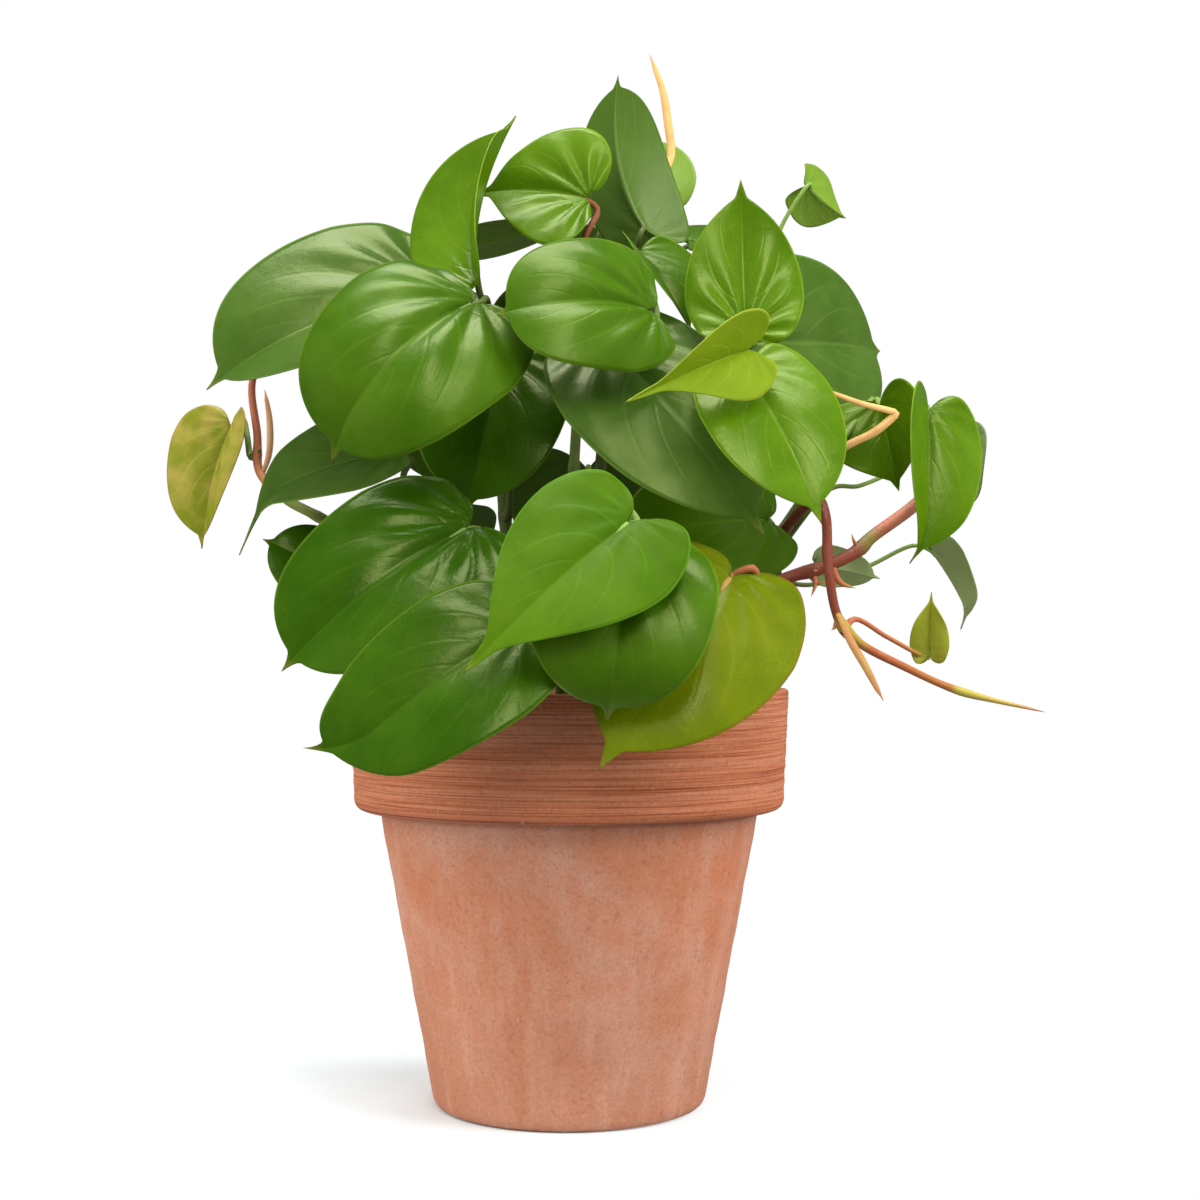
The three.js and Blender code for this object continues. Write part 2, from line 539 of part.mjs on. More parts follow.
function addPiece(name, solid, tone) {
  const [color, roughness] = TONES[tone];
  const material = new THREE.MeshStandardMaterial({ color, roughness, metalness: 0 });
  const mesh = new THREE.Mesh(geometryOf(solid), material);
  mesh.name = name;
  plant.add(mesh);
}

addPiece('pot', pot(), 'terracotta');
addPiece('soil', soil(), 'soil');
for (const vine of VINES) {
  addPiece(vine.name, vineSolid(vine), vine.tone);
  for (const leaf of vine.leaves) addPiece(leaf.name, leafSolid(leaf, vine), leaf.tone);
  for (const sheath of vine.sheaths ?? []) addPiece(sheath.name, sheathSolid(sheath, vine), 'sheath');
}

export default plant;
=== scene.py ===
# %% [markdown]
# # A potted heartleaf philodendron
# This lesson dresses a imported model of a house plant. The model gives the frame: where the pot,
# the soil, the vines and each leaf are, in metres, with Z up. Every piece below takes the place
# of one node of that frame and adds what the plain solids leave out: the relief and the gloss of
# the leaves, the throwing lines of the clay, the crumbs of the soil.

import math
import random

import bmesh
import bpy
import numpy as np
from mathutils import Matrix, Vector, noise


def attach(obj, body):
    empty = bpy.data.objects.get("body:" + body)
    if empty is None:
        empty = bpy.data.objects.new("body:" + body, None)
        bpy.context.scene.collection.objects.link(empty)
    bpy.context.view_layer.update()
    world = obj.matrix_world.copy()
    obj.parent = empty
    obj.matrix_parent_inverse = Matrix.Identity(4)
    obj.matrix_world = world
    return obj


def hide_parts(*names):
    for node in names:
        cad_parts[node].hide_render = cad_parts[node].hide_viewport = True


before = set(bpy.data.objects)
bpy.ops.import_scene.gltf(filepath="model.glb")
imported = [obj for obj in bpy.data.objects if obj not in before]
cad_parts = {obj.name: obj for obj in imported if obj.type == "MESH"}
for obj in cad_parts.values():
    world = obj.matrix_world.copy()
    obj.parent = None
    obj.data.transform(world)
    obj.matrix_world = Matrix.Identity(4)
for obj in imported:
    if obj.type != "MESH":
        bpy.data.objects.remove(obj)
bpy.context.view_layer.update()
scene = bpy.context.scene
print("nodes in the frame:", len(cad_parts))

# %% [markdown]
# ## Sizes
# The numbers are those of the solid model, in millimetres, and one factor turns them into
# metres. The pot is a common thrown clay pot with a rim of 150 mm. Its rim band is a collar that
# is wider than the body, also inside, so the inner wall slopes outwards over a short shelf.

# %%
# Sizes of the pot, the soil and the stems
MM = 0.001
GAP = 0.3
POT_HEIGHT = 141
RIM_RADIUS = 75
RIM_LOWER_RADIUS = 73.4
RIM_BAND = 41
RIM_WALL = 6
BAND_START = POT_HEIGHT - RIM_BAND
BODY_TOP_RADIUS = 64.6
BODY_BASE_RADIUS = 46
BODY_WALL = 6.5
TAPER = (BODY_TOP_RADIUS - BODY_BASE_RADIUS) / BAND_START
FLOOR_THICKNESS = 8
FLOOR_RADIUS = BODY_BASE_RADIUS + TAPER * FLOOR_THICKNESS - BODY_WALL
SHELF_HEIGHT = 14
SHELF_RADIUS = RIM_RADIUS - RIM_WALL - 2
DRAIN_RADIUS = 9
SOIL_LEVEL = 125
SOIL_DOME = 3
HOLE_DEPTH = 27
STALK_RADIUS = 1.15
BLADE_THICKNESS = 0.7
print(f"pot {2 * RIM_RADIUS} mm across and {POT_HEIGHT} mm tall")

# %% [markdown]
# ## The plant's plan
# A potted philodendron is several rooted vines. Each vine is written down by its radius and how
# much of it is left at the tip, where it stands, the points it grows through, its leaves and its
# sheaths. A leaf is written down by its tone, how far up the vine it grows, the two ends of its
# midrib, the way its upper side looks and half its width. Then comes what bends it: how far each
# half is folded up, and the arch along it, in degrees, how full its heart is, and the points its
# stalk passes. The same plan made the solids, so that each leaf lands on its own node.

# %%
# How a line of the plan is written
def new_vine(name, radius, thin, foot, through, leaves, sheaths=(), tone="vine_green"):
    return dict(name="vine_" + name, radius=radius, thin=thin, foot=foot, through=through,
                leaves=leaves, sheaths=sheaths, tone=tone)


def new_leaf(name, tone, at, base, tip, face, half, **bends):
    return dict(name="leaf_" + name, tone=tone, at=at, base=base, tip=tip, face=face, half=half,
                **bends)


def new_sheath(name, at, wide, through):
    return dict(name="sheath_" + name, at=at, wide=wide, through=through)


# %%
# The three vines on the left and at the top
VINES = [
    new_vine(
        "left", 2, 0.6, foot=[-27, 8],
        through=[[-38, 14, 158], [-62, 20, 186], [-91, 20, 202], [-102, 28, 208], [-113, 38, 219],
                 [-114, 40, 232], [-116, 40, 250], [-112, 38, 262]],
        leaves=[
            new_leaf("left_1", "bronze", 0.82, [-126, 52, 236], [-136, 50, 191], [-0.58, -0.81, 0.1],
                     20, fold=[36, 36], arch=20, full=0.6, via=[[-119, 48, 232]]),
            new_leaf("left_2", "mid", 0.4, [-60, -2, 222], [-113, 12, 204], [-0.1, -0.65, 0.7], 22,
                     fold=[20, 25], arch=30, full=0.6, curl=[-26, 0], via=[[-58, 10, 214]]),
            new_leaf("left_3", "deep", 0.5, [-74, 4, 172], [-105, -2, 192], [-0.2, -0.7, 0.6], 17,
                     arch=40, full=0.8, via=[[-70, 12, 180]]),
        ],
        sheaths=[
            new_sheath("left", 0.78, 1.1, [[-109, 36, 225], [-109, 37, 237], [-111, 38, 248]]),
        ],
    ),
    new_vine(
        "upper_left", 2.3, 0.6, foot=[-14, -4],
        through=[[-18, -6, 165], [-22, -4, 200], [-24, 2, 235], [-20, 8, 265], [-10, 12, 290]],
        leaves=[
            new_leaf("upper_left_1", "deep", 0.7, [-51, 15, 280], [-124, -4, 243], [-0.15, -0.8, 0.6],
                     38, fold=[30, 20], arch=40, full=0.8, via=[[-34, 10, 272]]),
            new_leaf("upper_left_2", "mid", 0.76, [-31, -45, 266], [-75, -62, 217], [0, -0.9, 0.4], 33,
                     arch=80, cup=-40, full=1, curl=[0, -9], via=[[-27, -22, 270]]),
            new_leaf("upper_left_3", "bright", 0.85, [-31, -22, 278], [-18, -12, 335], [-0.5, -0.85, 0],
                     27, fold=[10, 68], arch=-25, sweep=-0.14, full=0.8),
            new_leaf("upper_left_4", "deep", 0.52, [-21, -20, 250], [-33, -35, 199], [0, -0.8, 0.5], 25,
                     arch=30, full=0.8),
        ],
    ),
    new_vine(
        "top", 2.2, 0.6, foot=[4, 6],
        through=[[6, 8, 170], [10, 10, 210], [14, 12, 250], [20, 16, 280], [28, 26, 310],
                 [34, 37, 330]],
        leaves=[
            new_leaf("top_1", "bright", 0.72, [5, -5, 309], [-33, 7, 312], [0, -0.7, 0.7], 25,
                     fold=[0, 40], arch=30, full=0.1, via=[[5, -6, 293]]),
            new_leaf("top_2", "deep", 0.84, [26, 0, 299], [17, 20, 358], [0.3, 0.9, 0.2], 18,
                     fold=[30, 35], arch=20, twist=-20, sweep=0.1, full=1, via=[[21, 4, 288]]),
            new_leaf("top_3", "bright", 0.9, [31, 46, 318], [28, 60, 346], [0.1, 0.9, 0.4], 16, arch=20,
                     full=0.8),
            new_leaf("top_4", "mid", 0.58, [26, -45, 264], [-22, -58, 260], [0.1, -0.9, 0.4], 25,
                     arch=60, cup=-30, full=1, via=[[10, -14, 272], [26, -32, 272]]),
            new_leaf("top_5", "mid", 0.68, [24, -11, 288], [41, -19, 261], [0.15, -0.95, 0.32], 17.5,
                     fold=[0, 72], arch=30, full=0.8, via=[[22, -4, 282]]),
        ],
        sheaths=[
            new_sheath("top", 0.97, 1.5, [[36.5, 38, 334], [35.5, 40, 346], [33.5, 40, 358],
                       [28.5, 40, 371]]),
        ],
    ),
]
print(len(VINES), "vines,", sum(len(vine["leaves"]) for vine in VINES), "leaves")

# %%
# The three vines on the right, two of them red
VINES += [
    new_vine(
        "upper_right", 2.3, 0.6, foot=[24, -6],
        through=[[32, -2, 165], [42, 2, 200], [52, 4, 232], [60, 8, 262], [66, 12, 288]],
        leaves=[
            new_leaf("upper_right_1", "bright", 0.6, [58, -36, 260], [57, -28, 310], [0, -1, 0], 19.5,
                     arch=-20, full=0.4, via=[[59, -16, 252]]),
            new_leaf("upper_right_2", "deep", 0.7, [64, -8, 258], [112, 38, 262], [0.65, -0.7, 0.25],
                     33, arch=30, full=0.8),
            new_leaf("upper_right_3", "mid", 0.96, [84, 19, 317.5], [99.5, 36, 310],
                     [-0.69, 0.56, -0.22], 12, fold=[64, 5], arch=10, full=0.5, swing=0.4,
                     via=[[74, 16, 302]]),
            new_leaf("upper_right_4", "lime", 0.52, [56, -66, 248], [18, -88, 229], [0, -0.95, 0.3],
                     15.5, fold=[0, 80], arch=20, full=-0.4, via=[[59, -20, 246], [58, -45, 250]]),
            new_leaf("upper_right_5", "deep", 0.4, [14, -36, 253], [62, -62, 190], [-0.1, -0.75, 0.6],
                     30, fold=[3, 12], arch=30, full=0.6, via=[[24, -20, 240]]),
            new_leaf("upper_right_6", "bright", 0.44, [57, -56, 242], [78, -79, 193], [0.1, -0.9, 0.4],
                     22, arch=30, full=0.6, via=[[60, -32, 238]]),
            new_leaf("upper_right_7", "mid", 0.9, [44, 27, 300], [79, 45, 297], [0, -0.5, 0.85], 18,
                     arch=30, full=0.8),
        ],
    ),
    new_vine(
        "right", 1.9, 1.15, foot=[36, -24], tone="vine_red",
        through=[[44, -40, 156], [56, -54, 170], [69, -57, 177], [79, -54, 180], [87, -51, 183],
                 [94, -47, 187], [97, -45, 190], [116, -32, 204], [124, -18, 216]],
        leaves=[
            new_leaf("right_1", "olive", 0.52, [51, -66, 177], [10, -92, 119], [0.1, -0.9, 0.3], 32,
                     fold=[10, -12], arch=30, swing=0.6, via=[[58, -65, 180]]),
            new_leaf("right_2", "bright", 0.97, [118, -32, 232], [115, -45, 182], [-0.1, -0.95, 0.3],
                     18, fold=[0, 80], arch=20, full=0.7, curl=[5, 0]),
            new_leaf("right_4", "mid", 0.6, [81, -39, 182], [101.5, -37, 177.5], [0.1, 0.85, 0.5], 7.5,
                     arch=20, full=0.6),
        ],
    ),
    new_vine(
        "trailing", 1.8, 0.4, foot=[42, -4], tone="vine_red",
        through=[[56, -14, 168], [70, -26, 192], [80, -40, 203], [82, -54, 197], [82, -62, 180],
                 [85, -64, 164], [91, -64, 157], [106, -63, 149], [122, -61, 142], [150, -60, 135]],
        leaves=[
            new_leaf("trailing_1", "lime", 0.72, [115.5, -50, 153], [116, -51, 173], [-0.3, -0.95, 0],
                     7, fold=[40, 30], arch=10, full=0.1, swing=0.3, via=[[101, -58, 158.5]]),
            new_leaf("trailing_2", "mid", 0.36, [123, -10, 188], [136, -12, 163], [0.8, 0.3, 0.3], 9,
                     fold=[40, 40], arch=20, full=0.6, curl=[-9, 0], via=[[80, -16, 176],
                     [100, -12, 182]]),
            new_leaf("trailing_3", "bright", 0.42, [106, -6, 237], [112, -8, 208], [0, -0.9, 0.3], 22,
                     fold=[75, 5], arch=20, full=0.3, via=[[84, -20, 214], [96, -8, 230]]),
            new_leaf("right_3", "deep", 0.39, [138.8, 8, 229], [137.5, 6, 201], [0.97, 0.2, 0.1], 12,
                     arch=20, full=0.6, swing=0.6, via=[[86, -22, 207], [100, -2, 210.5],
                     [114, 6, 217]]),
        ],
        sheaths=[
            new_sheath("right", 0.5, 1.2, [[83, -46, 210], [87, -52, 218], [98, -54, 224],
                       [103.4, -54, 228.4], [104.6, -54, 229.8], [102.5, -54, 230.6], [94, -52, 233],
                       [85, -50, 236.5], [78, -46, 239.5]]),
            new_sheath("trailing", 0.7, 1.7, [[88, -68, 158], [93, -69, 149], [98, -69, 139]]),
        ],
    ),
]
print(len(VINES), "vines,", sum(len(vine["leaves"]) for vine in VINES), "leaves")

# %%
# The vine in front and the three behind
VINES += [
    new_vine(
        "front", 2.2, 0.6, foot=[-2, -28],
        through=[[-2, -38, 160], [2, -44, 185], [6, -46, 205]],
        leaves=[
            new_leaf("front_1", "bright", 0.95, [19, -88, 193], [-29, -110, 148], [-0.1, -0.9, 0.35],
                     26, arch=20, full=0, via=[[14, -64, 202]]),
            new_leaf("front_2", "mid", 0.75, [18, -80, 185], [13, -99, 136], [0.05, -0.95, 0.3], 29,
                     arch=80, full=1, curl=[0, -8], via=[[10, -60, 190]]),
            new_leaf("front_3", "deep", 0.5, [-14, -86, 160], [-70, -98, 117], [-0.2, -0.85, 0.4], 26,
                     arch=40, full=0.85, curl=[13, 0], via=[[-8, -64, 158]]),
            new_leaf("front_4", "deep", 0.6, [-32, -55, 193], [-87, -75, 148], [-0.2, -0.85, 0.4], 31,
                     arch=40, full=0.9, via=[[-16, -50, 186]]),
            new_leaf("front_5", "mid", 0.88, [65, -31, 197], [14, -48, 189], [0, -0.9, 0.4], 22.5,
                     arch=30, full=0.8, via=[[36, -34, 204], [60, -26, 202]]),
        ],
    ),
    new_vine(
        "back_left", 2.2, 0.6, foot=[-20, 26],
        through=[[-28, 34, 160], [-40, 42, 190], [-46, 46, 225], [-44, 44, 262], [-38, 40, 285]],
        leaves=[
            new_leaf("back_left_1", "mid", 0.95, [-58, 50, 292], [-104, 62, 262], [-0.4, 0.7, 0.6], 29,
                     arch=40, full=0.8),
            new_leaf("back_left_2", "deep", 0.75, [-44, 72, 262], [-52, 104, 214], [-0.2, 0.85, 0.4],
                     28, arch=40, full=0.7),
            new_leaf("back_left_3", "mid", 0.45, [-48, 64, 206], [-78, 92, 158], [-0.4, 0.8, 0.35], 27,
                     arch=40, full=0.6),
        ],
    ),
    new_vine(
        "back", 2.2, 0.6, foot=[2, 30],
        through=[[0, 42, 165], [0, 48, 200], [2, 50, 240], [4, 46, 275], [2, 40, 296]],
        leaves=[
            new_leaf("back_1", "mid", 0.88, [0, 64, 284], [-6, 100, 240], [0, 0.8, 0.6], 31, arch=40,
                     full=0.8),
            new_leaf("back_2", "deep", 0.5, [6, 78, 222], [4, 112, 168], [0, 0.9, 0.35], 30, arch=30,
                     full=0.5),
            new_leaf("back_3", "mid", 0.25, [-16, 76, 176], [-28, 102, 124], [-0.1, 0.9, 0.3], 27,
                     arch=40, full=0.7),
            new_leaf("back_4", "bright", 0.98, [-14, 32, 304], [-46, 40, 292], [-0.1, 0.1, 0.95], 20,
                     arch=40, full=0.7),
            new_leaf("back_5", "bright", 0.95, [12, 46, 308], [24, 78, 288], [0.1, 0.6, 0.8], 22,
                     arch=40, full=0.6),
        ],
    ),
    new_vine(
        "back_right", 2.2, 0.6, foot=[22, 26],
        through=[[34, 36, 160], [50, 44, 190], [58, 48, 225], [56, 46, 260], [50, 42, 285]],
        leaves=[
            new_leaf("back_right_1", "mid", 0.96, [66, 46, 286], [100, 70, 252], [0.4, 0.7, 0.6], 26,
                     arch=40, full=0.7),
            new_leaf("back_right_2", "deep", 0.72, [56, 72, 252], [66, 104, 202], [0.2, 0.85, 0.4], 27,
                     arch=40, full=0.8),
            new_leaf("back_right_3", "mid", 0.4, [50, 66, 196], [66, 94, 148], [0.4, 0.8, 0.35], 25,
                     arch=30, full=0.6),
            new_leaf("back_right_4", "deep", 0.2, [24, 76, 170], [34, 100, 120], [0.1, 0.9, 0.3], 24,
                     arch=40, full=0.6),
        ],
    ),
]
print(len(VINES), "vines,", sum(len(vine["leaves"]) for vine in VINES), "leaves")

# %% [markdown]
# ## Shader maths in plain Python
# Nodes are easier to read as formulas. A Wire holds one output of a node, and adding or
# multiplying two wires adds the Math node for it. Anything that isn't plain arithmetic comes
# from one method that takes the node's type, its settings and what goes into its sockets.

# %%
# A wire between nodes
class Wire:
    def __init__(self, tree, socket):
        self.tree = tree
        self.socket = socket

    def math(self, operation, *others, first=None):
        operands = (self if first is None else first, *others)
        return self.tree.node("ShaderNodeMath", {"operation": operation}, dict(enumerate(operands)))

    def __add__(self, other):
        return self.math("ADD", other)

    def __radd__(self, other):
        return self.math("ADD", self, first=other)

    def __sub__(self, other):
        return self.math("SUBTRACT", other)

    def __rsub__(self, other):
        return self.math("SUBTRACT", self, first=other)

    def __mul__(self, other):
        return self.math("MULTIPLY", other)

    def __rmul__(self, other):
        return self.math("MULTIPLY", self, first=other)

    def __abs__(self):
        return self.math("ABSOLUTE")

    def clamped(self):
        return self.math("MAXIMUM", 0.0).math("MINIMUM", 1.0)

    def step(self, low, high):
        settings = {"interpolation_type": "SMOOTHSTEP"}
        return self.tree.node("ShaderNodeMapRange", settings, {0: self, 1: low, 2: high})


# %%
# A tree of nodes, each added by its type. A ramp's stops are set as one setting
def set_stops(ramp, stops):
    *inner, (last_place, last_colour) = stops
    for place, colour in inner:
        ramp.elements.new(place).color = (*colour, 1)
    ramp.elements[-1].position = last_place
    ramp.elements[-1].color = (*last_colour, 1)
    ramp.elements.remove(ramp.elements[0])


class Tree:
    def __init__(self, node_tree):
        self.nodes = node_tree.nodes
        self.links = node_tree.links

    def feed(self, socket, value):
        if isinstance(value, Wire):
            self.links.new(value.socket, socket)
        elif isinstance(value, tuple) and len(value) == 3 and socket.type == "RGBA":
            socket.default_value = (*value, 1.0)
        else:
            socket.default_value = value

    def node(self, kind, settings=None, inputs=None, output=0):
        made = self.nodes.new(kind)
        for key, value in (settings or {}).items():
            if key == "stops":
                set_stops(made.color_ramp, value)
            else:
                setattr(made, key, value)
        for key, value in (inputs or {}).items():
            self.feed(made.inputs[key], value)
        return Wire(self, made.outputs[output])


# %%
# A material, with the few nodes that every finish here uses
class Finish(Tree):
    def __init__(self, name):
        self.material = bpy.data.materials.new(name)
        self.material.use_nodes = True
        super().__init__(self.material.node_tree)
        self.surface = self.nodes["Principled BSDF"]
        self.result = self.nodes["Material Output"]

    def set(self, **inputs):
        for key, value in inputs.items():
            self.feed(self.surface.inputs[key.replace("_", " ")], value)

    def mix(self, factor, first, second):
        inputs = {0: factor, 6: first, 7: second}
        return self.node("ShaderNodeMix", {"data_type": "RGBA"}, inputs, 2)

    def place(self, scale=(1, 1, 1), shift=(0, 0, 0)):
        where = self.node("ShaderNodeTexCoord", output="Object")
        inputs = {"Vector": where, "Scale": scale, "Location": shift}
        return self.node("ShaderNodeMapping", None, inputs)

    def distance(self, point):
        return self.node("ShaderNodeVectorMath", {"operation": "LENGTH"}, {0: point}, "Value")

    def noise(self, scale, detail, rough, vector=None):
        where = vector or self.node("ShaderNodeTexCoord", output="Object")
        inputs = {"Scale": scale, "Detail": detail, "Roughness": rough, "Vector": where}
        return self.node("ShaderNodeTexNoise", None, inputs)

    def split(self, vector, axis):
        return self.node("ShaderNodeSeparateXYZ", None, {"Vector": vector}, axis)

    def grid(self):
        across_along = self.node("ShaderNodeUVMap", {"uv_map": "UVMap"})
        return self.split(across_along, "X"), self.split(across_along, "Y")

    def bump(self, height, distance, strength):
        inputs = {"Height": height, "Distance": distance, "Strength": strength}
        self.set(Normal=self.node("ShaderNodeBump", None, inputs))


# %% [markdown]
# ## Terracotta
# Unglazed clay is matte and never one colour. The body has a pale bloom where minerals dried
# on it, with a fine sandy grain. The rim band was turned with a rough rib, so it is darker and
# carries fine lines that run all the way round. Noise that is stretched flat gives those lines.

# %%
# The body: bloom, warm blotches, a darker foot, mineral runs and a painted shadow under the rim
BODY_CLAY = (0.455, 0.178, 0.094)
BLOOM_CLAY = (0.53, 0.29, 0.205)
WARM_CLAY = (0.5, 0.15, 0.06)
LOW_DARK_CLAY = (0.33, 0.15, 0.09)
RIM_CLAY = (0.5, 0.165, 0.074)
RIM_PALE = (0.62, 0.29, 0.18)
RIM_DARK = (0.2, 0.05, 0.022)
LOW_DARK_FROM, LOW_DARK_TO = 0.01, 0.085
RIM_SHADOW_HEIGHT = 2.4


def body_colour(clay, height, blotch):
    bloom = clay.noise(19.0, 5.0, 0.62).step(0.38, 0.7)
    runs = clay.noise(1.0, 4.0, 0.6, clay.place((110, 110, 14))).step(0.42, 0.66)
    # the body turns darker and duller towards its foot
    foot = 1 - (height + bloom * 0.02).step(LOW_DARK_FROM, LOW_DARK_TO)
    # painted shadow: a dark band just below the rim band, where the rim's overhang shades the body
    painted_rim_shadow = height.step((BAND_START - RIM_SHADOW_HEIGHT) * MM, BAND_START * MM)
    colour = clay.mix(bloom * 0.8, BODY_CLAY, BLOOM_CLAY)
    colour = clay.mix(blotch * 0.45, colour, WARM_CLAY)
    colour = clay.mix(foot * 0.45, colour, LOW_DARK_CLAY)
    colour = clay.mix(runs * 0.4, colour, BLOOM_CLAY)
    return clay.mix(painted_rim_shadow * 0.6, colour, RIM_DARK)


# %%
# The rim: lines that run round it, dark where the rib dug in and pale where it smeared
def rim_colour(clay, streaks):
    drift = clay.noise(1.0, 3.0, 0.55, clay.place((3, 3, 260)))
    broken = clay.noise(1.0, 3.0, 0.6, clay.place((24, 24, 2400)))
    lines = (streaks * 0.65 + broken * 0.35).step(0.38, 0.54)
    strong = drift.step(0.35, 0.65) * 0.5 + 0.45
    dug = (1 - lines) * strong + (1 - broken.step(0.3, 0.45)) * 0.2
    smeared = ((1 - drift) * 0.5 + broken * 0.5).step(0.45, 0.62)
    return clay.mix(smeared * 0.5, clay.mix(dug, RIM_CLAY, RIM_DARK), RIM_PALE)


# %%
# The whole clay, with its sand, its pale specks and its pores
BAND_BLEND = 1.5


def terracotta():
    clay = Finish("terracotta")
    height = clay.split(clay.place(), "Z")
    blotch = clay.noise(70.0, 4.0, 0.6).step(0.35, 0.7)
    streaks = clay.noise(1.0, 5.0, 0.7, clay.place((2, 2, 1900)))
    sand = clay.noise(900.0, 3.0, 0.6)
    specks = clay.noise(420.0, 2.0, 0.5).step(0.66, 0.72)
    pores = clay.noise(520.0, 4.0, 0.7).step(0.52, 0.68)
    band = height.step(BAND_START * MM, (BAND_START + BAND_BLEND) * MM)
    colour = clay.mix(band, body_colour(clay, height, blotch), rim_colour(clay, streaks))
    colour = clay.mix(specks * 0.35, colour, BLOOM_CLAY)
    colour = clay.mix(((sand - 0.5) * 0.9 + 0.06 + pores * 0.22).clamped(), colour, RIM_DARK)
    clay.set(Base_Color=colour, Roughness=0.78 + sand * 0.2, Specular_IOR_Level=0.3)
    clay.bump(sand * 0.35 + streaks * band * 1.2 + blotch * 0.2, 0.0006, 0.55)
    return clay.material


terracotta_finish = terracotta()
print("finish:", terracotta_finish.name)

# %% [markdown]
# ## The pot
# A pot is made on a wheel, and Blender's spin does the same: it turns one outline round the
# axis. The outline follows the solid's, but the rim band gets the small grooves that the
# potter's rib left, as real shape, because their shadows show at the rim's edge.

# %%
# The side of the body, which wavers a little, and the rim with its grooves
BODY_ROWS = 34
RIM_ROWS = 58
GROOVE_DEPTH = 0.32
EDGE_ROUNDING = 1.6


def body_side(foot):
    points = []
    for i in range(1, BODY_ROWS + 1):
        t = i / BODY_ROWS
        waver = 0.09 * math.sin(t * 23) + 0.06 * math.sin(t * 57) if i < BODY_ROWS else 0
        radius = foot[0] + (BODY_TOP_RADIUS - foot[0]) * t + waver - 0.1
        points.append([radius, foot[1] + (BAND_START - foot[1]) * t])
    return points


def rim_side(lip):
    chance = random.Random(4)
    points = []
    for i in range(1, RIM_ROWS + 1):
        t = i / RIM_ROWS
        groove = chance.uniform(-GROOVE_DEPTH, 0) * (0.4 + 0.6 * abs(math.sin(t * 7)))
        radius = lip[0] + (RIM_RADIUS - lip[0]) * t + groove
        points.append([radius, lip[1] + (POT_HEIGHT - EDGE_ROUNDING - lip[1]) * t])
    return points


# %%
# The outline of the wall, from the drain hole out, up, over the rim and back inside
FOOT_ROUNDING = 3
LIP_ROUNDING = 5
INNER_ROUNDING = 1.5
BEVEL_OUT, BEVEL_UP = 0.6, 0.4


def quadratic(start, control, end, steps):
    points = []
    for i in range(1, steps + 1):
        t = i / steps
        near, far = (1 - t) * (1 - t), t * t
        points.append([near * a + 2 * t * (1 - t) * b + far * c
                       for a, b, c in zip(start, control, end)])
    return points


def wall_outline():
    base = [BODY_BASE_RADIUS - FOOT_ROUNDING, 0]
    foot = [BODY_BASE_RADIUS + 0.5, FOOT_ROUNDING]
    under = [RIM_LOWER_RADIUS - 4, BAND_START + 0.3]
    lip = [RIM_LOWER_RADIUS - 0.1, BAND_START + LIP_ROUNDING]
    edge = [RIM_RADIUS - EDGE_ROUNDING, POT_HEIGHT]
    inside = RIM_RADIUS - RIM_WALL
    drain = DRAIN_RADIUS + BEVEL_OUT
    points = [[DRAIN_RADIUS, BEVEL_UP], [drain, 0], base]
    points += quadratic(base, [BODY_BASE_RADIUS - 0.4, 0], foot, 5) + body_side(foot) + [under]
    points += quadratic(under, [RIM_LOWER_RADIUS, BAND_START + 0.3], lip, 6) + rim_side(lip)
    points += quadratic(points[-1], [RIM_RADIUS, POT_HEIGHT], edge, 5)
    points += quadratic([inside + 1.2, POT_HEIGHT], [inside, POT_HEIGHT],
                        [inside, POT_HEIGHT - INNER_ROUNDING], 4)
    points += [[SHELF_RADIUS, BAND_START + SHELF_HEIGHT], [BODY_TOP_RADIUS - BODY_WALL, BAND_START]]
    points += [[FLOOR_RADIUS, FLOOR_THICKNESS], [drain, FLOOR_THICKNESS]]
    return points + [[DRAIN_RADIUS, FLOOR_THICKNESS - BEVEL_UP]]


print("outline of the wall:", len(wall_outline()), "points")


# %%
# Finishing a piece: smooth, on the frame, in place of its node
def into_object(name, mesh, finishes):
    data = bpy.data.meshes.new(name)
    mesh.to_mesh(data)
    mesh.free()
    for finish in finishes:
        data.materials.append(finish)
    made = bpy.data.objects.new(name, data)
    scene.collection.objects.link(made)
    return made


def finish_piece(name, mesh, finishes, slot, node):
    for face in mesh.faces:
        face.smooth = True
    piece = into_object(name, mesh, finishes)
    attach(piece, "root")
    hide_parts(node)
    return piece


# %%
# Turning an outline on the wheel
POT_STEPS = 144
MERGE = 1e-6


def spun(points, steps, closed=True):
    mesh = bmesh.new()
    corners = [mesh.verts.new((x * MM, 0, z * MM)) for x, z in points]
    for first, second in zip(corners, corners[1:]):
        mesh.edges.new((first, second))
    if closed:
        mesh.edges.new((corners[-1], corners[0]))
    bmesh.ops.spin(mesh, geom=mesh.verts[:] + mesh.edges[:], axis=(0, 0, 1), cent=(0, 0, 0),
                   steps=steps, angle=2 * math.pi, use_merge=True)
    bmesh.ops.remove_doubles(mesh, verts=mesh.verts[:], dist=MERGE)
    bmesh.ops.recalc_face_normals(mesh, faces=mesh.faces[:])
    return mesh


wall = spun(wall_outline(), POT_STEPS)
pot = finish_piece("clay_pot", wall, [terracotta_finish], "terracotta", "pot")
print("pot:", len(pot.data.polygons), "faces")

# %% [markdown]
# ## The soil
# Peat soil is nearly black, fibrous and rough, and it shows between the vines when the plant
# is seen from above. A fine grid pushed about by noise gives the lumpy surface, and small
# crumbs lie on it. White grains of perlite are what a grower mixes in.

# %%
# Dark peat with pale grains
PEAT = (0.012, 0.007, 0.004)
DRY_PEAT = (0.055, 0.032, 0.018)
FIBRE = (0.12, 0.07, 0.035)


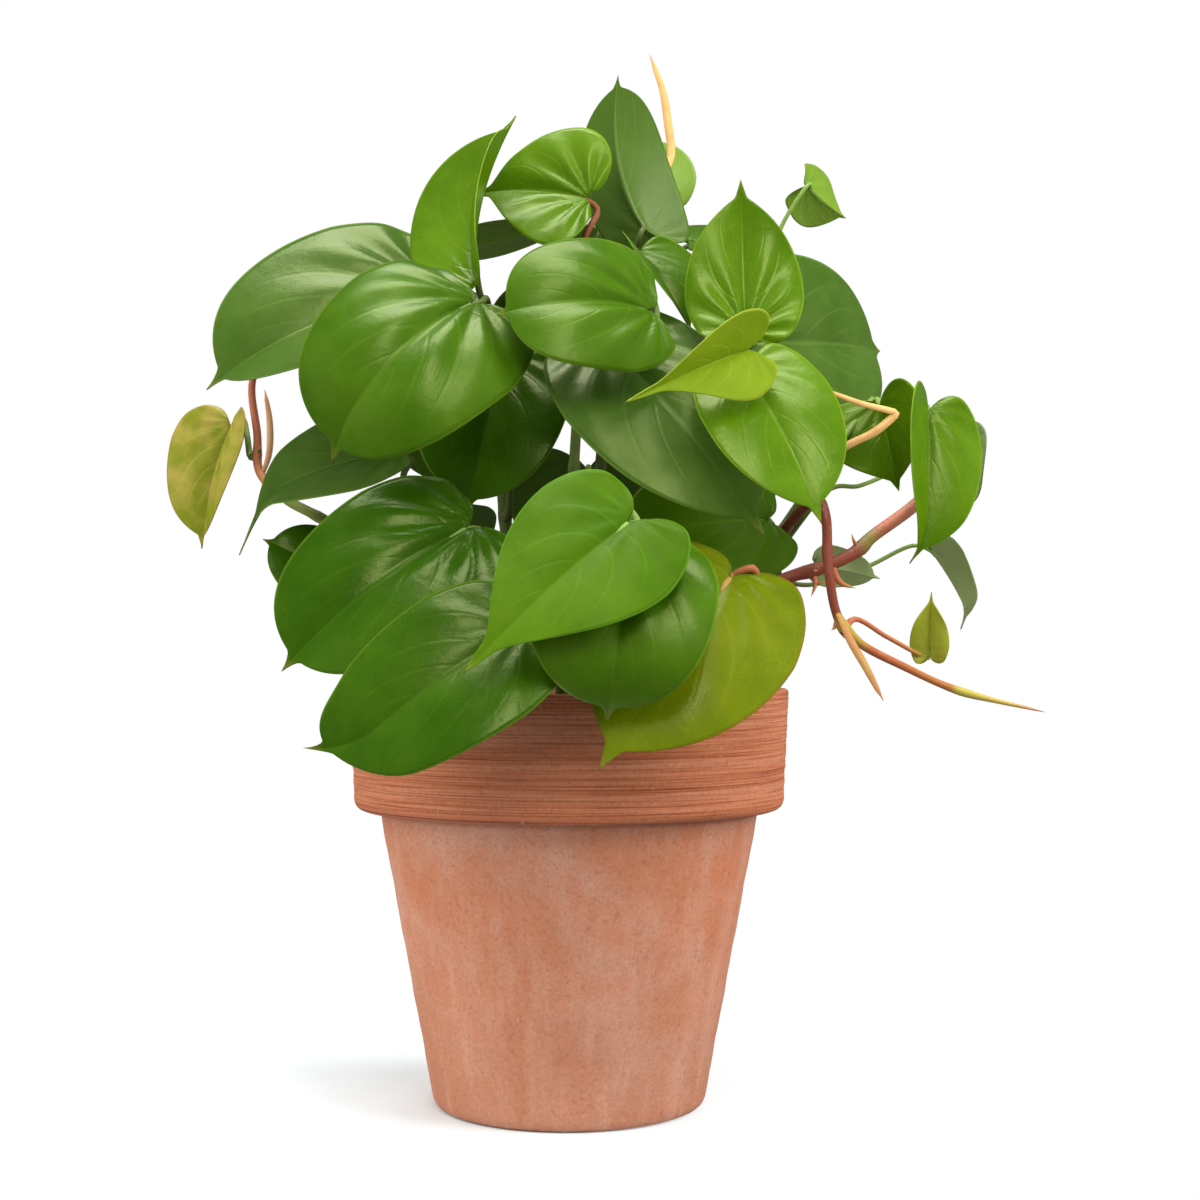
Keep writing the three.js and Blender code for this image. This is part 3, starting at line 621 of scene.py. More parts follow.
def peat():
    earth = Finish("peat_soil")
    lumps = earth.noise(160.0, 6.0, 0.7)
    fibres = earth.noise(1.0, 4.0, 0.6, earth.place((700, 240, 500)))
    colour = earth.mix(lumps.step(0.3, 0.7), PEAT, DRY_PEAT)
    colour = earth.mix(fibres.step(0.6, 0.75) * 0.6, colour, FIBRE)
    earth.set(Base_Color=colour, Roughness=0.85 + fibres * 0.12)
    earth.bump(lumps + fibres * 0.5, 0.0012, 0.8)
    return earth.material


def perlite():
    grain = Finish("perlite_grain")
    pores = grain.noise(1500.0, 3.0, 0.6)
    grain.set(Base_Color=grain.mix(pores, (0.55, 0.52, 0.47), (0.8, 0.78, 0.74)), Roughness=0.9)
    grain.bump(pores, 0.0003, 0.6)
    return grain.material


# %%
# The fill, with its lumpy top
SOIL_RINGS = 40
SOIL_STEPS = 120


def soil_outline():
    slope = 2 * (SOIL_LEVEL - BAND_START - SHELF_HEIGHT) / (RIM_BAND - SHELF_HEIGHT)
    top = SHELF_RADIUS + slope - GAP
    points = [[0, FLOOR_THICKNESS + GAP], [FLOOR_RADIUS - GAP, FLOOR_THICKNESS + GAP]]
    points += [[BODY_TOP_RADIUS - BODY_WALL - GAP, BAND_START]]
    points += [[SHELF_RADIUS - GAP, BAND_START + SHELF_HEIGHT]]
    for i in range(SOIL_RINGS + 1):
        radius = top * (1 - i / SOIL_RINGS)
        points.append([radius, SOIL_LEVEL + SOIL_DOME * (1 - (radius / top) ** 2)])
    return points


def lumpy(point):
    where = Vector(point) * 90
    return 1.4 * noise.noise(where) + 0.8 * noise.noise(where * 3.1) + 0.4 * noise.noise(where * 9)


soil_work = spun(soil_outline(), SOIL_STEPS, closed=False)
for vert in soil_work.verts:
    if vert.co.z > (SOIL_LEVEL - 0.5) * MM:
        vert.co.z += lumpy(vert.co) * MM
print("surface of the soil:", len(soil_work.verts), "points")

# %%
# What lies on it: dark crumbs and white grains
SCATTER_RADIUS = 63
DOME_RADIUS = 68
CRUMBS, CRUMB_SIZES = 420, (0.6, 2.0)
GRAINS, GRAIN_SIZES = 60, (0.6, 1.3)


def scatter(mesh, count, sizes, index, chance):
    for _ in range(count):
        reach = SCATTER_RADIUS * math.sqrt(chance.random())
        turn = chance.uniform(0, 2 * math.pi)
        spot = Vector((reach * math.cos(turn) * MM, reach * math.sin(turn) * MM, 0))
        spot.z = (SOIL_LEVEL + SOIL_DOME * (1 - (reach / DOME_RADIUS) ** 2)) * MM
        spot.z += lumpy(spot) * MM
        size = chance.uniform(*sizes) * MM
        place = Matrix.Translation(spot) @ Matrix.Rotation(turn * 3, 4, (0.3, 0.7, 0.6))
        stretch = (1, chance.uniform(0.5, 0.9), chance.uniform(0.4, 0.8), 1)
        made = bmesh.ops.create_icosphere(mesh, subdivisions=1, radius=size,
                                          matrix=place @ Matrix.Diagonal(stretch))
        for vert in made["verts"]:
            vert.co += Vector([chance.uniform(-0.2, 0.2) * size for _ in range(3)])
        for face in {face for vert in made["verts"] for face in vert.link_faces}:
            face.material_index = index


chance = random.Random(11)
scatter(soil_work, CRUMBS, CRUMB_SIZES, 0, chance)
scatter(soil_work, GRAINS, GRAIN_SIZES, 1, chance)
soil = finish_piece("soil_fill", soil_work, [peat(), perlite()], "soil", "soil")
print("soil:", len(soil.data.polygons), "faces")

# %% [markdown]
# ## Curves through points
# A stem is a smooth line through a few points. The centripetal Catmull-Rom curve passes through
# every one of them without loops, and the solids use it too, so it is worked out here the same
# way and measured off by length.

# %%
# A curve through points, read by its length
SPAN_STEPS = 25
NEARBY = 0.005


def vec(point):
    return np.array(point, float)


def unit(way):
    return way / np.linalg.norm(way)


class Path:
    def __init__(self, points):
        ends = [2 * points[0] - points[1], *points, 2 * points[-1] - points[-2]]
        table = []
        for x0, x1, x2, x3 in zip(ends, ends[1:], ends[2:], ends[3:]):
            d0, d1, d2 = [max(np.linalg.norm(b - a), 1e-6) ** 0.5
                          for a, b in ((x0, x1), (x1, x2), (x2, x3))]
            t1 = ((x1 - x0) / d0 - (x2 - x0) / (d0 + d1) + (x2 - x1) / d1) * d1
            t2 = ((x2 - x1) / d1 - (x3 - x1) / (d1 + d2) + (x3 - x2) / d2) * d1
            t = np.linspace(0, 1, SPAN_STEPS)[:, None]
            bend = -3 * x1 + 3 * x2 - 2 * t1 - t2
            table.append(x1 + t1 * t + bend * t ** 2 + (2 * x1 - 2 * x2 + t1 + t2) * t ** 3)
        self.table = np.vstack([table[0], *[part[1:] for part in table[1:]]])
        steps = np.linalg.norm(np.diff(self.table, axis=0), axis=1)
        self.length = np.concatenate([[0], np.cumsum(steps)])

    def at(self, t):
        where = np.asarray(t) * self.length[-1]
        return np.stack([np.interp(where, self.length, self.table[:, k]) for k in range(3)], -1)

    def heading(self, t):
        ahead = self.at(np.minimum(np.asarray(t) + NEARBY, 1))
        way = ahead - self.at(np.maximum(np.asarray(t) - NEARBY, 0))
        return way / np.linalg.norm(way, axis=-1, keepdims=True)


# %%
# The line of each vine, upright out of its hole in the soil
UPRIGHT = (-9, 3, 10)


def vine_path(vine):
    x, y = vine["foot"]
    heights = [SOIL_LEVEL - HOLE_DEPTH + GAP, *[SOIL_LEVEL + rise for rise in UPRIGHT]]
    return Path([vec((x, y, z)) for z in heights] + [vec(point) for point in vine["through"]])


for vine in VINES:
    vine["path"] = vine_path(vine)
print("longest vine:", round(max(vine["path"].length[-1] for vine in VINES)), "mm")

# %% [markdown]
# ## Stems
# A stem is a grid rolled into a tube: one side of the grid runs round the stem, the other along
# it, and its UV map keeps both. So a finish can follow the stem, paler at its growing end.

# %%
# Roll a grid round a path. The rings are turned as little as can be from one to the next
FIRST_TURN = (0.31, 0.17, 0.93)


def mapped_mesh():
    mesh = bmesh.new()
    mesh.loops.layers.uv.new("UVMap")
    return mesh


def steady_sides(path, rings):
    frames = path.heading(np.linspace(0, 1, rings + 1))
    right = [unit(np.cross(frames[0], vec(FIRST_TURN)))]
    for way in frames[1:]:
        right.append(unit(right[-1] - way * right[-1].dot(way)))
    return np.array(right)


def roll(mesh, path, radius_at, sides, rings, index=0):
    grid = bmesh.ops.create_grid(mesh, x_segments=sides, y_segments=rings, size=0.5,
                                 calc_uvs=True)["verts"]
    faces = list({face for vert in grid for face in vert.link_faces})
    turned = np.array([vert.co.x for vert in grid]) * 2 * math.pi
    along = np.array([vert.co.y for vert in grid]) + 0.5
    right = steady_sides(path, rings)[np.rint(along * rings).astype(int)]
    up = np.cross(path.heading(along), right)
    radius = np.array([radius_at(t) for t in along])[:, None]
    ring = np.cos(turned)[:, None] * right + np.sin(turned)[:, None] * up
    for vert, place in zip(grid, (path.at(along) + ring * radius) * MM):
        vert.co = place
    bmesh.ops.remove_doubles(mesh, verts=grid, dist=1e-7)
    rims = [edge for edge in {edge for face in faces for edge in face.edges} if edge.is_boundary]
    faces += bmesh.ops.holes_fill(mesh, edges=rims, sides=sides + 1)["faces"]
    bmesh.ops.recalc_face_normals(mesh, faces=faces)
    for face in faces:
        face.material_index = index


# %%
# Small helpers that both vines and stalks use
THINNEST = 0.05


def rings_on(path, spacing, fewest):
    return max(fewest, int(path.length[-1] / spacing))


def swell(t, centre, width, height):
    return height * math.exp(-((t - centre) / width) ** 2)


def vine_radius(vine, t):
    return vine["radius"] * (1 - (1 - vine["thin"]) * t ** 3)


def seat_on(vine, at, toward, thickness):
    root = vine["path"].at(at)
    heading = vine["path"].heading(at)
    out = toward - root
    out = unit(out - heading * out.dot(heading))
    return root, root + out * (vine_radius(vine, at) + thickness + GAP), out


# %% [markdown]
# ## The skin of the stems
# Young philodendron stems are green and slightly shiny, with fine lengthwise stripes, and the
# two vines on the right have turned red. Each stem's colours are the stops of a ramp from its
# foot to its tip. A red vine is darkest low down, and its new end is pink or yellow. The stripes
# follow the UV map round the stem, and painted shade darkens every stem towards the middle of
# the plant, where the leaves shade it.

# %%
# One stem finish from its stops
STRIPES_ROUND, STRIPES_ALONG = 60, 9
SHADED_FROM, SHADED_TO = 0.03, 0.085
DRY_SKIN = (0.5, 0.42, 0.2)


def stem_finish(name, rough, stops):
    skin = Finish(name)
    round_it, along = skin.grid()
    colour = skin.node("ShaderNodeValToRGB", {"stops": stops}, {0: along})
    stretched = {0: round_it * STRIPES_ROUND, 1: along * STRIPES_ALONG}
    stripes = skin.node("ShaderNodeCombineXYZ", None, stretched)
    streak = skin.noise(1.0, 3.0, 0.6, stripes)
    blotch = skin.noise(240.0, 3.0, 0.6)
    dark = tuple(0.45 * value for value in stops[0][1])
    # painted shade: each stem darkens near the plant's middle, where the leaves above shade it
    shade = 1 - skin.distance(skin.place((1, 1, 0))).step(SHADED_FROM, SHADED_TO)
    colour = skin.mix(streak.step(0.5, 0.75) * 0.22, colour, dark)
    colour = skin.mix(blotch.step(0.6, 0.75) * 0.3, colour, DRY_SKIN)
    colour = skin.mix(shade * 0.85, colour, dark)
    skin.set(Base_Color=colour, Roughness=rough + streak * 0.15, Specular_IOR_Level=0.4)
    skin.bump(streak + blotch * 0.5, 0.0004, 0.4)
    return skin.material


# %%
# The stems of this plant: roughness, and a colour at each stop
STEM_COLOURS = {
    "green_stem": (0.4, [(0.0, (0.13, 0.17, 0.035)), (1.0, (0.2, 0.33, 0.05))]),
    "blushing_stem": (0.4, [(0.0, (0.12, 0.16, 0.03)), (0.7, (0.15, 0.19, 0.03)),
                            (0.79, (0.5, 0.17, 0.07)), (1.0, (0.42, 0.12, 0.07))]),
    "rosy_stalk": (0.35, [(0.0, (0.42, 0.11, 0.05)), (0.6, (0.48, 0.17, 0.06)),
                          (1.0, (0.42, 0.3, 0.05))]),
    "red_stem": (0.34, [(0.0, (0.15, 0.035, 0.016)), (0.7, (0.19, 0.042, 0.02)),
                        (0.74, (0.2, 0.18, 0.03)), (0.78, (0.62, 0.2, 0.12)),
                        (1.0, (0.66, 0.28, 0.16))]),
    "trailing_stem": (0.3, [(0.0, (0.15, 0.035, 0.016)), (0.7, (0.2, 0.045, 0.02)),
                            (0.715, (0.36, 0.28, 0.04)), (0.745, (0.36, 0.24, 0.04)),
                            (0.765, (0.38, 0.1, 0.035)), (0.875, (0.4, 0.15, 0.04)),
                            (0.885, (0.42, 0.36, 0.06)), (0.95, (0.5, 0.38, 0.08)),
                            (1.0, (0.5, 0.2, 0.12))]),
}
stem_finishes = {name: stem_finish(name, *skin) for name, skin in STEM_COLOURS.items()}
print("stem finishes:", ", ".join(stem_finishes))

# %% [markdown]
# ## The vines
# A vine swells a little at each node, where a leaf stalk leaves it. Opposite the stalk sits a
# small pointed bud or root nub. The growing end closes to a point.

# %%
# What sets single vines apart: finish, length of the point, scars where sheaths fell, and spurs
FINISH_OF = {"vine_left": "blushing_stem", "vine_right": "red_stem", "vine_trailing": "trailing_stem"}
POINT_LENGTH = {"vine_trailing": 30, "vine_left": 12}
BLUNT = 3.5
SCARS = {"vine_trailing": [(0.895, 6, 0.35), (0.725, 4, 0.5)], "vine_right": [(0.72, 3, 0.4)]}
SPURS = {
    "vine_right": [([77.5, -54.3, 179], [78.6, -55.2, 175.5], [77.2, -55.6, 171.2], 0.95),
                   ([78.4, -55, 176], [80, -55.6, 175.6], [81.8, -56, 176.6], 0.55),
                   ([93, -47.5, 187], [91.4, -49, 189.6], [90.8, -49.4, 191.6], 0.7),
                   ([84, -52.5, 181], [86.6, -52.4, 176], [91.8, -51.5, 174], 1.3)],
    "vine_trailing": [([84.2, -64, 163], [83.4, -65, 161.4], [82.4, -65.6, 160.8], 0.8)],
}
BARE_NODES = [0.3, 0.62]
NODE_WIDTH, NODE_HEIGHT = 2.2, 0.3


def stem_profile(vine, length):
    nodes = [(leaf["at"], NODE_WIDTH, NODE_HEIGHT) for leaf in vine["leaves"]]
    nodes += [(at, NODE_WIDTH, NODE_HEIGHT) for at in BARE_NODES]
    scars = SCARS.get(vine["name"], [])

    def radius_at(t):
        bumps = sum(swell(t, at, width / length, height) for at, width, height in nodes)
        bumps += sum(swell(t, at, width / length, height) for at, width, height in scars)
        left = (1 - t) * length / POINT_LENGTH.get(vine["name"], BLUNT)
        point = math.sqrt(max(0.0, 1 - (1 - left) ** 2)) if left < 1 else 1
        return max(THINNEST, (vine_radius(vine, t) + bumps) * point)

    return radius_at


# %%
# One vine with its nodes, buds and spurs
STEM_SIDES, STEM_SPACING, STEM_FEWEST = 14, 1.6, 40
BUD_RADIUS, BUD_RINGS = 1.1, 8
SPUR_SIDES, SPUR_RINGS = 8, 10


def pointed(thick):
    return lambda t: max(THINNEST, thick * (1 - t ** 2))


def grow_vine(vine):
    path = vine["path"]
    length = path.length[-1]
    mesh = mapped_mesh()
    rings = rings_on(path, STEM_SPACING, STEM_FEWEST)
    roll(mesh, path, stem_profile(vine, length), STEM_SIDES, rings)
    for leaf in vine["leaves"]:
        toward = vec(leaf["via"][0] if "via" in leaf else leaf["base"])
        root, _, out = seat_on(vine, leaf["at"], toward, 0)
        ahead = path.heading(leaf["at"])
        tip = root - out * (vine_radius(vine, leaf["at"]) + 0.9) + ahead * 2.6
        bud = Path([root, root - out * 1.4 + ahead * 0.8, tip])
        roll(mesh, bud, pointed(BUD_RADIUS), SPUR_SIDES, BUD_RINGS)
    for *points, thick in SPURS.get(vine["name"], []):
        spur = Path([vec(point) for point in points])
        roll(mesh, spur, pointed(thick), SPUR_SIDES, SPUR_RINGS, 1)
    stem = stem_finishes[FINISH_OF.get(vine["name"], "green_stem")]
    finishes = [stem, stem_finishes["rosy_stalk"]]
    return finish_piece(vine["name"] + "_stem", mesh, finishes, vine["tone"], vine["name"])


vine_pieces = [grow_vine(vine) for vine in VINES]
print("vines:", sum(len(piece.data.polygons) for piece in vine_pieces), "faces")

# %% [markdown]
# ## Leaf finishes
# The upper side of a heartleaf philodendron is glossy and leathery. Its colour isn't even: the
# side veins and the midrib are paler, the margin is a thin light line, and young leaves are
# lime or bronze. The UV map knows where on a leaf a point is: across it from 0 to 1, and along
# it from the stalk to the tip. A side vein is then a line on which a mix of the two is constant.

# %%
# The map of the veins, and the light that a thin blade lets through
VEIN_REACH = 0.42
VEIN_COUNT = 6.5
FINE_VEINS = 8
LET_THROUGH = 0.1


def vein_map(leaf):
    across, along = leaf.grid()
    side = abs(across * 2 - 1)
    sweep = (along - side * VEIN_REACH) * VEIN_COUNT
    return along, side, sweep, abs(sweep.math("FRACT") - 0.5) * 2


def let_light_through(leaf, light, brighter):
    tint = tuple(min(1, value * brighter) for value in light)
    glow = leaf.node("ShaderNodeBsdfTranslucent", None, {"Color": tint})
    inputs = {0: LET_THROUGH, 1: Wire(leaf, leaf.surface.outputs[0]), 2: glow}
    leaf.feed(leaf.result.inputs["Surface"], leaf.node("ShaderNodeMixShader", None, inputs))
    return leaf.material


# %%
# The upper side
SPENT_TIP = (0.3, 0.22, 0.04)
BRONZE_PATCH = (0.46, 0.33, 0.08)
GREEN_GLEAM = (0.92, 1.0, 0.4)


def leaf_finish(name, deep, light, vein, edge, gloss, gleam=0.42, patchy=0.0):
    leaf = Finish(name)
    along, side, sweep, beat = vein_map(leaf)
    inside = side.step(0.02, 0.15) * (1 - side.step(0.45, 0.95)) * (1 - along.step(0.6, 0.9))
    side_vein = beat.step(0.8, 1.0) * inside
    fine = abs((sweep * FINE_VEINS).math("FRACT") - 0.5).step(0.25, 0.5) * inside
    midrib = (1 - side.step(0.0, 0.045)) * (1 - along * 0.6)
    heart = (1 - side.step(0.1, 0.9)) * (1 - along.step(0.1, 0.7))
    cloud = leaf.noise(26.0, 4.0, 0.6).step(0.3, 0.7)
    mottle = leaf.noise(120.0, 3.0, 0.6).step(0.35, 0.75)
    pucker = leaf.noise(330.0, 2.0, 0.5)
    grain = leaf.noise(900.0, 2.0, 0.5)
    colour = leaf.mix(cloud * 0.55 + mottle * 0.25 + grain * 0.15, deep, light)
    colour = leaf.mix(heart * 0.35, colour, deep)
    if patchy:
        patches = leaf.noise(95.0, 3.0, 0.6).step(0.36, 0.68)
        colour = leaf.mix(patches * patchy, colour, BRONZE_PATCH)
    for mask, strength in ((fine, 0.05), (side_vein, 0.18), (midrib, 0.45)):
        colour = leaf.mix(mask * strength, colour, vein)
    colour = leaf.mix(side.step(0.965, 0.998) * 0.6, colour, edge)
    colour = leaf.mix(along.step(0.95, 1.0) * 0.35, colour, SPENT_TIP)
    leaf.set(Base_Color=colour, Roughness=gloss + grain * 0.08 + cloud * 0.08)
    leaf.set(Specular_IOR_Level=gleam, Specular_Tint=GREEN_GLEAM)
    height = fine * 0.04 + side_vein * -0.3 + grain * 0.12 + mottle * 0.35 + pucker * 0.16
    leaf.bump(height, 0.0004, 0.5)
    return let_light_through(leaf, light, 1.6)


# %%
# The tones of this plant: the deep and the light green, veins, edge, roughness, gleam, patches
TONES = {
    "deep": ((0.018, 0.064, 0.0008), (0.04, 0.108, 0.0015), (0.065, 0.14, 0.008),
             (0.11, 0.21, 0.015), 0.18, 0.34),
    "mid": ((0.031, 0.092, 0.001), (0.064, 0.148, 0.002), (0.11, 0.22, 0.01),
            (0.15, 0.26, 0.015), 0.24, 0.46),
    "bright": ((0.052, 0.13, 0.001), (0.1, 0.205, 0.002), (0.16, 0.28, 0.015),
               (0.21, 0.33, 0.02), 0.19, 0.46),
    "matt": ((0.04, 0.108, 0.001), (0.08, 0.17, 0.002), (0.1, 0.25, 0.02),
             (0.1, 0.27, 0.02), 0.36, 0.16),
    "lime": ((0.14, 0.225, 0.004), (0.22, 0.32, 0.008), (0.36, 0.44, 0.05),
             (0.36, 0.4, 0.05), 0.32),
    "olive": ((0.1, 0.15, 0.001), (0.18, 0.225, 0.002), (0.25, 0.29, 0.02),
              (0.32, 0.14, 0.02), 0.2, 0.42),
    # the greyer green tone below is a painted sheen, standing in for the grey reflection these leaves
    # show
    "dusty": ((0.034, 0.088, 0.006), (0.072, 0.138, 0.018), (0.13, 0.22, 0.04),
              (0.15, 0.26, 0.04), 0.24, 0.48),
    "straw": ((0.2, 0.24, 0.01), (0.36, 0.35, 0.04), (0.4, 0.42, 0.08),
              (0.36, 0.36, 0.06), 0.34),
    "bronze": ((0.17, 0.21, 0.01), (0.27, 0.27, 0.025), (0.42, 0.42, 0.08),
               (0.42, 0.16, 0.04), 0.24, 0.45, 0.6),
}
leaf_finishes = {tone: leaf_finish(tone + "_leaf", *values) for tone, values in TONES.items()}
print("leaf finishes:", ", ".join(leaf_finishes))


# %%
# The undersides, which are paler and matt, from old leaves to new ones. The young and the pale
# ones carry painted light as well: they are lighter still, for the glow of light coming through a
# blade that faces down into shade
def underside_finish(name, deep, light, vein):
    leaf = Finish(name)
    _, side, _, beat = vein_map(leaf)
    cloud = leaf.noise(45.0, 4.0, 0.6)
    grain = leaf.noise(800.0, 2.0, 0.5)
    colour = leaf.mix(cloud, deep, light)
    colour = leaf.mix(beat.step(0.85, 1.0) * 0.15, colour, vein)
    colour = leaf.mix((1 - side.step(0.01, 0.06)) * 0.6, colour, vein)
    leaf.set(Base_Color=colour, Roughness=0.42 + grain * 0.1)
    leaf.set(Specular_IOR_Level=0.35, Specular_Tint=(0.9, 1.0, 0.5))
    leaf.bump(grain * 0.3 + beat.step(0.8, 1.0) * 0.4, 0.0003, 0.4)
    return let_light_through(leaf, light, 1.6)


# the young and pale undersides are partly their own paler green and partly a painted glow of light
# shining through
UNDERSIDES = {
    "old": ((0.036, 0.085, 0.004), (0.062, 0.125, 0.012), (0.1, 0.17, 0.03)),
    "fresh": ((0.12, 0.22, 0.012), (0.17, 0.29, 0.03), (0.23, 0.35, 0.05)),
    "pale": ((0.27, 0.37, 0.13), (0.37, 0.48, 0.2), (0.44, 0.54, 0.25)),
    "young": ((0.3, 0.42, 0.035), (0.4, 0.52, 0.07), (0.46, 0.56, 0.12)),
}
undersides = {age: underside_finish(age + "_underside", *values)
              for age, values in UNDERSIDES.items()}
print("undersides:", ", ".join(undersides))

# %% [markdown]
# ## The leaf's surface
# A philodendron leaf is a heart drawn on a sheet that bends three ways: it arches from stalk to
# tip, its two halves fold up along the midrib, and its edge ripples. So the blade is a square
# grid with coordinates u along and v across, and a formula says where each grid point goes. The
# heart's margin is three Bezier curves: round the lobe, along the side, and into the drip tip.

# %%
# Half of the margin, read by its length. A full heart is broad far down, a lean one near the stalk
MARGIN_STEPS = 120
USUAL_FULL = 0.5


def bezier(points):
    t = np.linspace(0, 1, MARGIN_STEPS)[:, None]
    a, b, c, d = [vec(point) for point in points]
    return (1 - t) ** 3 * a + 3 * (1 - t) ** 2 * t * b + 3 * (1 - t) * t ** 2 * c + t ** 3 * d


def heart_margin(full):
    def between(lean, plump):
        return lean + (plump - lean) * full

    widest = (1, between(0.14, 0.24))
    shoulder = (1.02, between(0.5, 0.7))
    taper = (between(0.26, 0.7), between(0.7, 0.9))
    neck = (0.1, between(0.84, 0.93))
    line = np.vstack([bezier([(0, 0), (0.1, -0.15), (0.84, -0.26), widest]),
                      bezier([widest, shoulder, taper, neck])[1:],
                      bezier([neck, (0.05, 0.94), (0.02, 0.97), (0, 1)])[1:]])
    steps = np.linalg.norm(np.diff(line, axis=0), axis=1)
    length = np.concatenate([[0], np.cumsum(steps)]) / steps.sum()
    return lambda u: (np.interp(u, length, line[:, 0]), np.interp(u, length, line[:, 1]))


for vine in VINES:
    for leaf in vine["leaves"]:
        leaf["margin"] = heart_margin(leaf.get("full", USUAL_FULL))
fullness = [leaf.get("full", USUAL_FULL) for vine in VINES for leaf in vine["leaves"]]
print("hearts: the leanest", min(fullness), "and the fullest", max(fullness))

# %%
# The relief: ridges that fan out from the stalk, and a crease along the midrib
RIBBED = {"leaf_upper_left_1": 1.1, "leaf_upper_left_2": 1.3, "leaf_top_4": 1.6, "leaf_front_2": 1.5,
          "leaf_upper_right_1": 1.4, "leaf_top_1": 1.3, "leaf_front_4": 0.9, "leaf_upper_right_5": 0.8}
SMOOTH = 0.45
RIDGE, CREASE = 0.62, 0.5
FAN = 12
USUAL_HALF = 28


def relief(across, run, chord, leaf):
    sideways = across * leaf["half"] / chord
    fan_angle = np.arctan2(sideways, run + 0.05)
    reach = np.hypot(sideways, run)
    fade = np.clip(reach / 0.12, 0, 1) * np.clip((0.85 - reach) / 0.55, 0, 1) * (1 - across ** 4)
    ridges = -np.cos(fan_angle * FAN + 0.5 * np.sin(reach * 7 + leaf["half"]) * fan_angle)
    crease = -np.exp(-(across * leaf["half"] / 1.6) ** 2) * np.clip(1 - run, 0, 1)
    ribbed = RIBBED.get(leaf["name"], SMOOTH)
    return leaf["half"] / USUAL_HALF * (RIDGE * ribbed * ridges * fade + CREASE * crease)


# %%
# Where the grid point (u, v) of a leaf lies, in millimetres
RUNG_START = 1.6
WAVE_HEIGHT = 1.0
WAVES = 15
CURL_START = 0.7


def leaf_axes(leaf):
    base = vec(leaf["base"])
    along = unit(vec(leaf["tip"]) - base)
    face = vec(leaf["face"])
    face = unit(face - along * face.dot(along))
    return base, along, face, np.cross(along, face)


def blade_points(leaf, u, v, with_relief=True):
    base, along, face, side = leaf_axes(leaf)
    chord = np.linalg.norm(vec(leaf["tip"]) - base)
    arch = math.radians(leaf.get("arch", 30))
    folds = [math.radians(angle) for angle in leaf.get("fold", [12, 12])]
    cup = math.radians(leaf.get("cup", -20))
    twist = math.radians(leaf.get("twist", 0))
    curl_side, curl_face = leaf.get("curl", [0, 0])

    # on the flat heart: how far out and how far down the leaf the point is
    edge_x, edge_y = leaf["margin"](u)
    rib = u ** RUNG_START
    across = np.abs(v) * edge_x
    run = rib + (edge_y - rib) * np.abs(v)

    # the directions at that point, once the leaf is arched and twisted
    angle = (arch * (0.5 - run))[:, None]
    forward = along * np.cos(angle) + face * np.sin(angle)
    up = face * np.cos(angle) - along * np.sin(angle)
    turn = (twist * run)[:, None]
    outward = side * np.cos(turn) + up * np.sin(turn)
    up = np.cross(outward, forward)

    # down the arch, then out along the folded half, with the ripple of the edge
    spread = chord / (2 * math.sin(arch / 2))
    bank = np.where(v < 0, folds[0], folds[1]) + cup * across / 2
    ripple = WAVE_HEIGHT * np.sin(WAVES * u + 2 * v) * v * v * (1 - run)
    width = across * leaf["half"]
    point = base + along * (spread * (math.sin(arch / 2) - np.sin(angle)))
    point = point + face * (spread * (np.cos(angle) - math.cos(arch / 2)))
    point = point + outward * (np.sign(v) * width * np.cos(bank))[:, None]
    point = point + up * (width * np.sin(bank) + ripple)[:, None]

    # a sideways sweep of the whole blade, a curl of its tip, and the relief
    point = point + side * (leaf.get("sweep", 0) * chord * 4 * run * (1 - run))[:, None]
    tipward = (np.clip((run - CURL_START) / (1 - CURL_START), 0, 1) ** 2)[:, None]
    point = point + side * curl_side * tipward + face * curl_face * tipward
    if with_relief:
        point = point + up * relief(across, run, chord, leaf)[:, None]
    return point


# %% [markdown]
# ## Growing the leaves
# The grid's rows all meet at the notch and again at the tip, where its points are merged. The
# sheet is then doubled, one copy is turned over, the two are pushed apart along their normals,
# and their open edges are bridged. That gives a closed blade whose underside has a finish of
# its own. The stalk is rolled under it and runs from inside the vine up to the midrib.

# %%
# A closed thin sheet from a grid that a formula places
def sheet(mesh, place, columns, rows, thickness_at, upper, lower):
    bmesh.ops.create_grid(mesh, x_segments=columns, y_segments=rows, size=0.5, calc_uvs=True)
    u = np.clip(np.array([vert.co.y for vert in mesh.verts]) + 0.5, 0, 1)
    v = np.clip(np.array([vert.co.x for vert in mesh.verts]) * 2, -1, 1)
    along = mesh.verts.layers.float.new("along")
    across = mesh.verts.layers.float.new("across")
    for vert, point, a, b in zip(mesh.verts, place(u, v) * MM, u, v):
        vert.co = point
        vert[along] = a
        vert[across] = b
    bmesh.ops.remove_doubles(mesh, verts=mesh.verts[:], dist=MERGE)
    top = mesh.faces[:]
    copied = bmesh.ops.duplicate(mesh, geom=mesh.verts[:] + mesh.edges[:] + mesh.faces[:])["geom"]
    bottom = [item for item in copied if isinstance(item, bmesh.types.BMFace)]
    bmesh.ops.reverse_faces(mesh, faces=bottom)
    mesh.normal_update()
    below = {vert for face in bottom for vert in face.verts}
    for vert in mesh.verts:
        vert.co += vert.normal * thickness_at(vert[along], vert[across], vert in below) * MM
    rims = [edge for edge in mesh.edges if edge.is_boundary]
    margin = bmesh.ops.bridge_loops(mesh, edges=rims)["faces"]
    for faces, index in ((top, upper), (bottom, lower), (margin, upper)):
        for face in faces:
            face.material_index = index


# %%
# The blade's thickness, with the midrib proud below, and the stalk's line and thickness
HALF_BLADE = 0.28
THINNER_EDGE = 0.14
MIDRIB_HEIGHT = 0.5
MIDRIB_WIDTH = 0.05
JOINED_AT = 0.22


def blade_thickness(u, v, below):
    thickness = HALF_BLADE - THINNER_EDGE * v * v
    if below:
        thickness += MIDRIB_HEIGHT * math.exp(-(v / MIDRIB_WIDTH) ** 2) * (1 - u) ** 0.5
    return thickness


